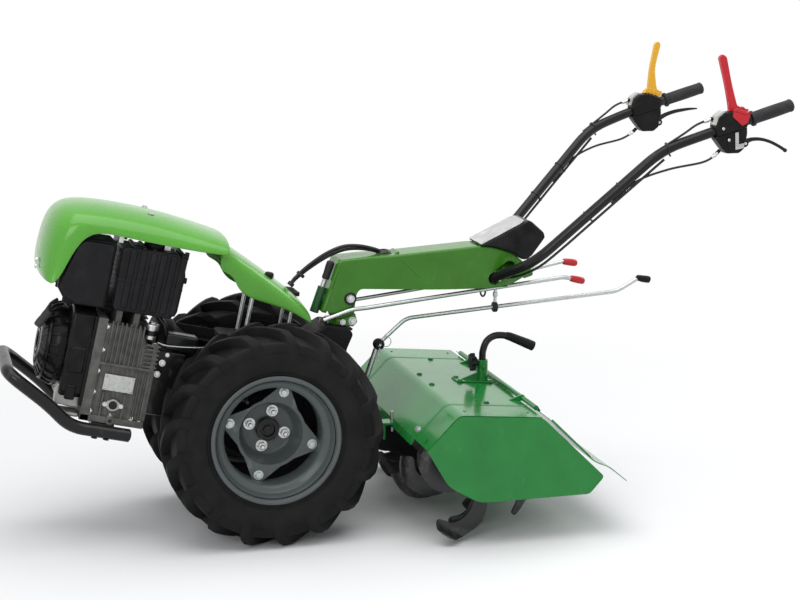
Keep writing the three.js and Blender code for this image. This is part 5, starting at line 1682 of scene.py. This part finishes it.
for side, sign in SIDES:
    handed = MACHINE @ HANDED[sign]
    housing = bmesh.new()
    x0, x1 = GRIP_X - BLOCK_HALF, GRIP_X + BLOCK_HALF
    slab(housing, [
        (1164, 1050), (1172, 1076), (1188, 1087), (1218, 1089), (1254, 1077), (1257, 1046), (1172, 1024),
    ], x0, x1, 6, 3)
    slab(housing, [
        (1170, 1026), (1256, 1048), (1257, 1030), (1250, 992), (1235, 980), (1200, 980), (1184, 998),
        (1168, 1018),
    ], x0 + 3, x1 - 3, 6, 3)
    slab(housing, [(1196, 1022), (1236, 1034), (1238, 992), (1204, 988)], x1 - 5, x1 - 0.5, 3)
    rod(housing, (GRIP_X - 16, 1252, 1005), (GRIP_X + 16, 1252, 1005), 10, 28, 2)
    rod(housing, (GRIP_X, 1187, 988), (GRIP_X, 1177, 978), 5, 16, 1)
    rod(housing, (GRIP_X, 1166, 1068), (GRIP_X, 1157, 1071), 5.5, 16, 1)
    finished(
        f"control_housing_{side}", housing, handed, "handlebar", block_plastic,
        [f"control_block_{side}"],
    )

    tabs = bmesh.new()
    slab(tabs, [
        (1220, 1034), (1229, 1036), (1231, 1004), (1246, 1007), (1246, 994), (1222, 990),
    ], x1 - 2, x1 + 2, 1.2)
    slab(tabs, [
        (1160, 1056), (1167, 1079), (1186, 1093), (1192, 1090), (1174, 1074), (1168, 1054),
    ], x0 + 12, x1 - 3, 1.5)
    finished(f"pale_tabs_{side}", tabs, handed, "handlebar", tab_plastic)

    screws = bmesh.new()
    for y, z in ((1186, 1046), (1246, 1060), (1203, 1016)):
        spun(screws, [
            (x1 - 2, 4), (x1 + 1.5, 4), (x1 + 2.3, 3), (x1 + 2.3, 1.4), (x1 + 0.8, 1.2), (x1 + 0.8, 0.01),
        ], "X", 20, (0, y, z))
    rod(screws, (GRIP_X - 17.5, 1252, 1005), (GRIP_X + 18.5, 1252, 1005), 4, 20, 1)
    for start, end in (((283, 1181, 981), (283, 1164, 969)), ((282.5, 1159, 1070), (281.5, 1140, 1063))):
        start, end = Vector(start), Vector(end)
        rod(screws, start, end, 4.6, 20, 0.8)
        middle = start.lerp(end, 0.4)
        rod(screws, middle, middle + (end - start).normalized() * 4, 6.2, 6, 0.5)
    finished(f"ferrules_and_screws_{side}", screws, handed, "handlebar", bolt_zinc)

    # Hand grip: a collar, a fluted length and a rounded end.
    grip_start, grip_end = Vector((283, 1272, 1067.3)), Vector((282, 1391, 1101.7))
    run = (grip_end - grip_start).normalized()
    length = (grip_end - grip_start).length
    grip = bmesh.new()
    outline = [(0, 14), (0.5, 19.5), (2, 20.5), (7, 20.5), (8.5, 18), (12, 16.6)]
    outline += [(12 + (length - 24) * k / 8, 16.3 + 0.7 * sin(pi * k / 8)) for k in range(1, 9)]
    outline += [(length - 8, 17.4), (length - 4, 16.4), (length - 1, 13), (length, 8), (length, 0.01)]
    spun(grip, outline, "Z", 72)
    for vert in grip.verts:
        if 13 < vert.co.z < length - 13:
            angle = atan2(vert.co.y, vert.co.x)
            vert.co.xy = vert.co.xy * (1 - 0.035 * (0.5 + 0.5 * cos(18 * angle)))
    where = Matrix.Translation(grip_start) @ run.to_track_quat("Z", "X").to_matrix().to_4x4()
    bmesh.ops.transform(grip, matrix=where, verts=grip.verts)
    finished(
        f"fluted_grip_{side}", grip, handed, "handlebar", hand_rubber, [f"hand_grip_{side}"],
    )

    # Hand lever: a curved blade, deep at its pivot and ending in a small ball.
    lever = bmesh.new()
    tube(lever, LEVER_PATHS[side], 5.4, sides=14, smooth=True, radii=LEVER_GIRTHS[side])
    if side == "left":
        bmesh.ops.create_uvsphere(
            lever, u_segments=20, v_segments=14, radius=5.6, matrix=Matrix.Translation((283, 1374.5, 982)),
        )
    finished(
        f"curved_lever_{side}", lever, handed, "handlebar", lever_black,
        [f"hand_lever_{side}"],
    )

    # Cables: one from the upper shell back into the tube's bundle, one from the lower body.
    for control, path in CABLE_PATHS.items():
        wire = bmesh.new()
        tube(wire, path, 3, sides=10, smooth=True)
        finished(
            f"{control}_wire_{side}", wire, handed, "handlebar", sheath,
            [f"{control}_cable_{side}"],
        )

# ------------------------------------------------------------------ switch levers
# A slender curved blade with a blunt tip that rises from a ridged paw over the housing: red for
# the left hand, yellow for the right.


def lever_plastic(name, colour, deep):
    """Glossy coloured plastic, faintly clouded, and darker in its hollows with painted shade."""
    finish = Finish(name)
    # Painted shade: the deep colour is laid into the hollows, as if shade fell there.
    painted_hollow_shade = 1 - finish.add("ShaderNodeNewGeometry")["Pointiness"].between(0.44, 0.52)
    cloud = finish.noise(40, 4).between(0.35, 0.7)
    shade = finish.blend((0.15 * cloud + 0.5 * painted_hollow_shade).between(0, 1), (*colour, 1), (*deep, 1))
    return finish.end(
        Base_Color=shade, Roughness=0.28 + 0.12 * cloud, Coat_Weight=0.25, Specular_IOR_Level=0.3,
        Normal=finish.bump(finish.noise(350, 2), 0.0003, 0.2),
    )


BLADES = {
    "left": (
        (1208, 1092), (1236, 1092), (1229, 1106), (1213, 1158), (1196, 1230), (1185, 1237.5), (1175, 1229),
        (1195, 1158), (1206, 1108),
    ),
    "right": (
        (1218, 1092), (1250, 1092), (1244, 1108), (1237, 1158), (1254, 1230), (1246, 1237.5), (1237, 1231),
        (1223, 1158), (1219, 1108),
    ),
}
# deep is the darker colour for the faint clouding and for the painted shade in the blades' hollows.
for side, sign, slot, colour, deep in (
    ("left", 1, "red_plastic", (0.56, 0.012, 0.022), (0.24, 0.005, 0.012)),
    ("right", -1, "yellow_plastic", (0.80, 0.42, 0.025), (0.56, 0.25, 0.012)),
):
    handed = MACHINE @ HANDED[sign]
    blade = bmesh.new()
    blade_line = rounded(BLADES[side], [3, 3, 8, 20, 5, 4, 5, 20, 8], True)
    slab(blade, blade_line, GRIP_X - 6, GRIP_X + 6, 3.4, 3)
    slab(blade, [
        (1206, 1089.5), (1222, 1089), (1256, 1077.5), (1264, 1094), (1256, 1094), (1247, 1101),
        (1240, 1099), (1228, 1106), (1216, 1104),
    ], GRIP_X - 8, GRIP_X + 8, 2, 2)
    for i in range(3):
        y, z = 1222 + 12 * i, 1099 - 4 * i
        slab(blade, [
            (y, z), (y + 6, z + 2), (y + 5, z - 13), (y + 1, z - 12),
        ], GRIP_X - 8.6, GRIP_X + 8.6, 1, 2)
    slab(blade, [
        (1212, 1091), (1256, 1077.5), (1262, 1090), (1254, 1060), (1238, 1052), (1222, 1066), (1210, 1076),
    ], GRIP_X + 21.6, GRIP_X + 25, 1.4, 2)
    slab(blade, [
        (1214, 1090.5), (1255, 1078.5), (1258, 1086), (1216, 1098),
    ], GRIP_X + 4, GRIP_X + 24.6, 1.4, 2)
    gloss = lever_plastic(slot + "_gloss", colour, deep)
    finished(f"switch_blade_{side}", blade, handed, "handlebar", gloss, [f"switch_lever_{side}"])

# ------------------------------------------------------------------ shift rods
# Bent zinc-plated rods under the column: the gear and take-off rods with red grips, and the
# coupling rod with a black one, hung in an eye with a rubber bush. A ball knob, a pin and a spring
# clip join the coupling rod to its lower end.

ROD_RADIUS = 6
rod_zinc = plated_steel("rod_zinc", (0.56, 0.58, 0.58), 0.3)
# Its deep colour also gives the painted shade in the grips' hollows.
red_grip = lever_plastic("red_grip_plastic", (0.50, 0.012, 0.018), (0.22, 0.005, 0.01))

gear = bmesh.new()
tube(gear, [
    (62, 172, 545), (60, 250, 570), (54, 285, 570), (33, 500, 587), (33, 854, 622), (33, 880, 616),
], ROD_RADIUS - 0.3, 20, 12)
finished("gear_shift_rod", gear, MACHINE, "handlebar", rod_zinc, ["gear_rod"])
take_off = bmesh.new()
tube(take_off, [(0, 275, 584), (0, 390, 597), (0, 780, 643), (0, 870, 661)], ROD_RADIUS - 1, 20, 12)
finished("take_off_rod", take_off, MACHINE, "handlebar", rod_zinc, ["power_take_off_rod"])
ends = bmesh.new()
for start, end in (((33, 872, 618), (33, 912, 608)), ((0, 862, 659.6), (0, 902, 653))):
    start, end = Vector(start), Vector(end)
    path = [start.lerp(end, k) for k in (0, 0.05, 0.3, 0.6, 0.9, 1)]
    tube(ends, path, 10, sides=16, radii=[0.7, 0.86, 0.94, 1, 0.94, 0.7])
finished("red_rod_grips", ends, MACHINE, "handlebar", red_grip)

coupling = bmesh.new()
tube(coupling, [
    (0, 305, 372), (0, 335, 457), (0, 414, 525), (0, 665, 543), (0, 1023, 568), (0, 1086, 602),
    (0, 1110, 597),
], ROD_RADIUS - 0.3, 20, 12)
rod(coupling, (0, 304, 370), (0, 331, 446), 7.6, 20, 1)
turns = [2 * pi * k / 20 for k in range(21)]
clip_ring = [(10, 356 + 14 * sin(turn), 466 + 14 * cos(turn)) for turn in turns]
tube(coupling, clip_ring, 1.2, sides=6)
for sway in (-1, 1):
    tube(coupling, [
        (12, 338, 450), (12, 336 + 3 * sway, 436), (12, 334 - 3 * sway, 424), (12, 330 + 5 * sway, 410),
    ], 1.3, sides=6, smooth=True)
rod(coupling, (-16, 338, 458), (17, 338, 458), 3.5, 16, 0.8)
finished("coupling_shift_rod", coupling, MACHINE, "handlebar", rod_zinc, ["coupling_rod"])

ball = bmesh.new()
spun(ball, [
    (-13, 6), (-13, 11), (-9, 14.5), (0, 16), (9, 14.5), (13, 11), (13, 6),
], "X", 36, (0, 338, 458))
tube(ball, [
    (0, 1082, 600), (0, 1086, 602), (0, 1098, 599.5), (0, 1112, 597), (0, 1119, 595.6), (0, 1121, 595),
], 10, sides=16, radii=[0.7, 0.9, 0.96, 1, 0.92, 0.6])
finished("coupling_knob_and_grip", ball, MACHINE, "handlebar", matt_black)

hanger = bmesh.new()
rod(hanger, (0, 666.6, 553), (0, 668, 605), 4.6, 20, 0.6)
rod(hanger, (0, 667, 572), (0, 667.4, 584), 7.2, 20, 1)
finished("hanger_stem", hanger, MACHINE, "handlebar", rod_zinc, ["rod_hanger"])
bush = bmesh.new()
spun(bush, [
    (659.5, 6.4), (659.5, 12), (662, 14.5), (670, 14.5), (672.5, 12), (672.5, 6.4),
], "Y", 36, (0, 0, 543))
spun(bush, [(596, 5), (596, 11), (604.8, 12.5), (604.8, 5)], "Z", 32, (0, 668, 0))
turns = [2 * pi * k / 24 for k in range(25)]
tube(bush, [(0, 632 + 7 * sin(turn), 588 + 14 * cos(turn)) for turn in turns], 2.6, sides=8)
rod(bush, (0, 632, 601), (0, 632, 606), 3, 12)
finished("hanger_bush", bush, MACHINE, "handlebar", cable_rubber("bush_rubber", 0.5))
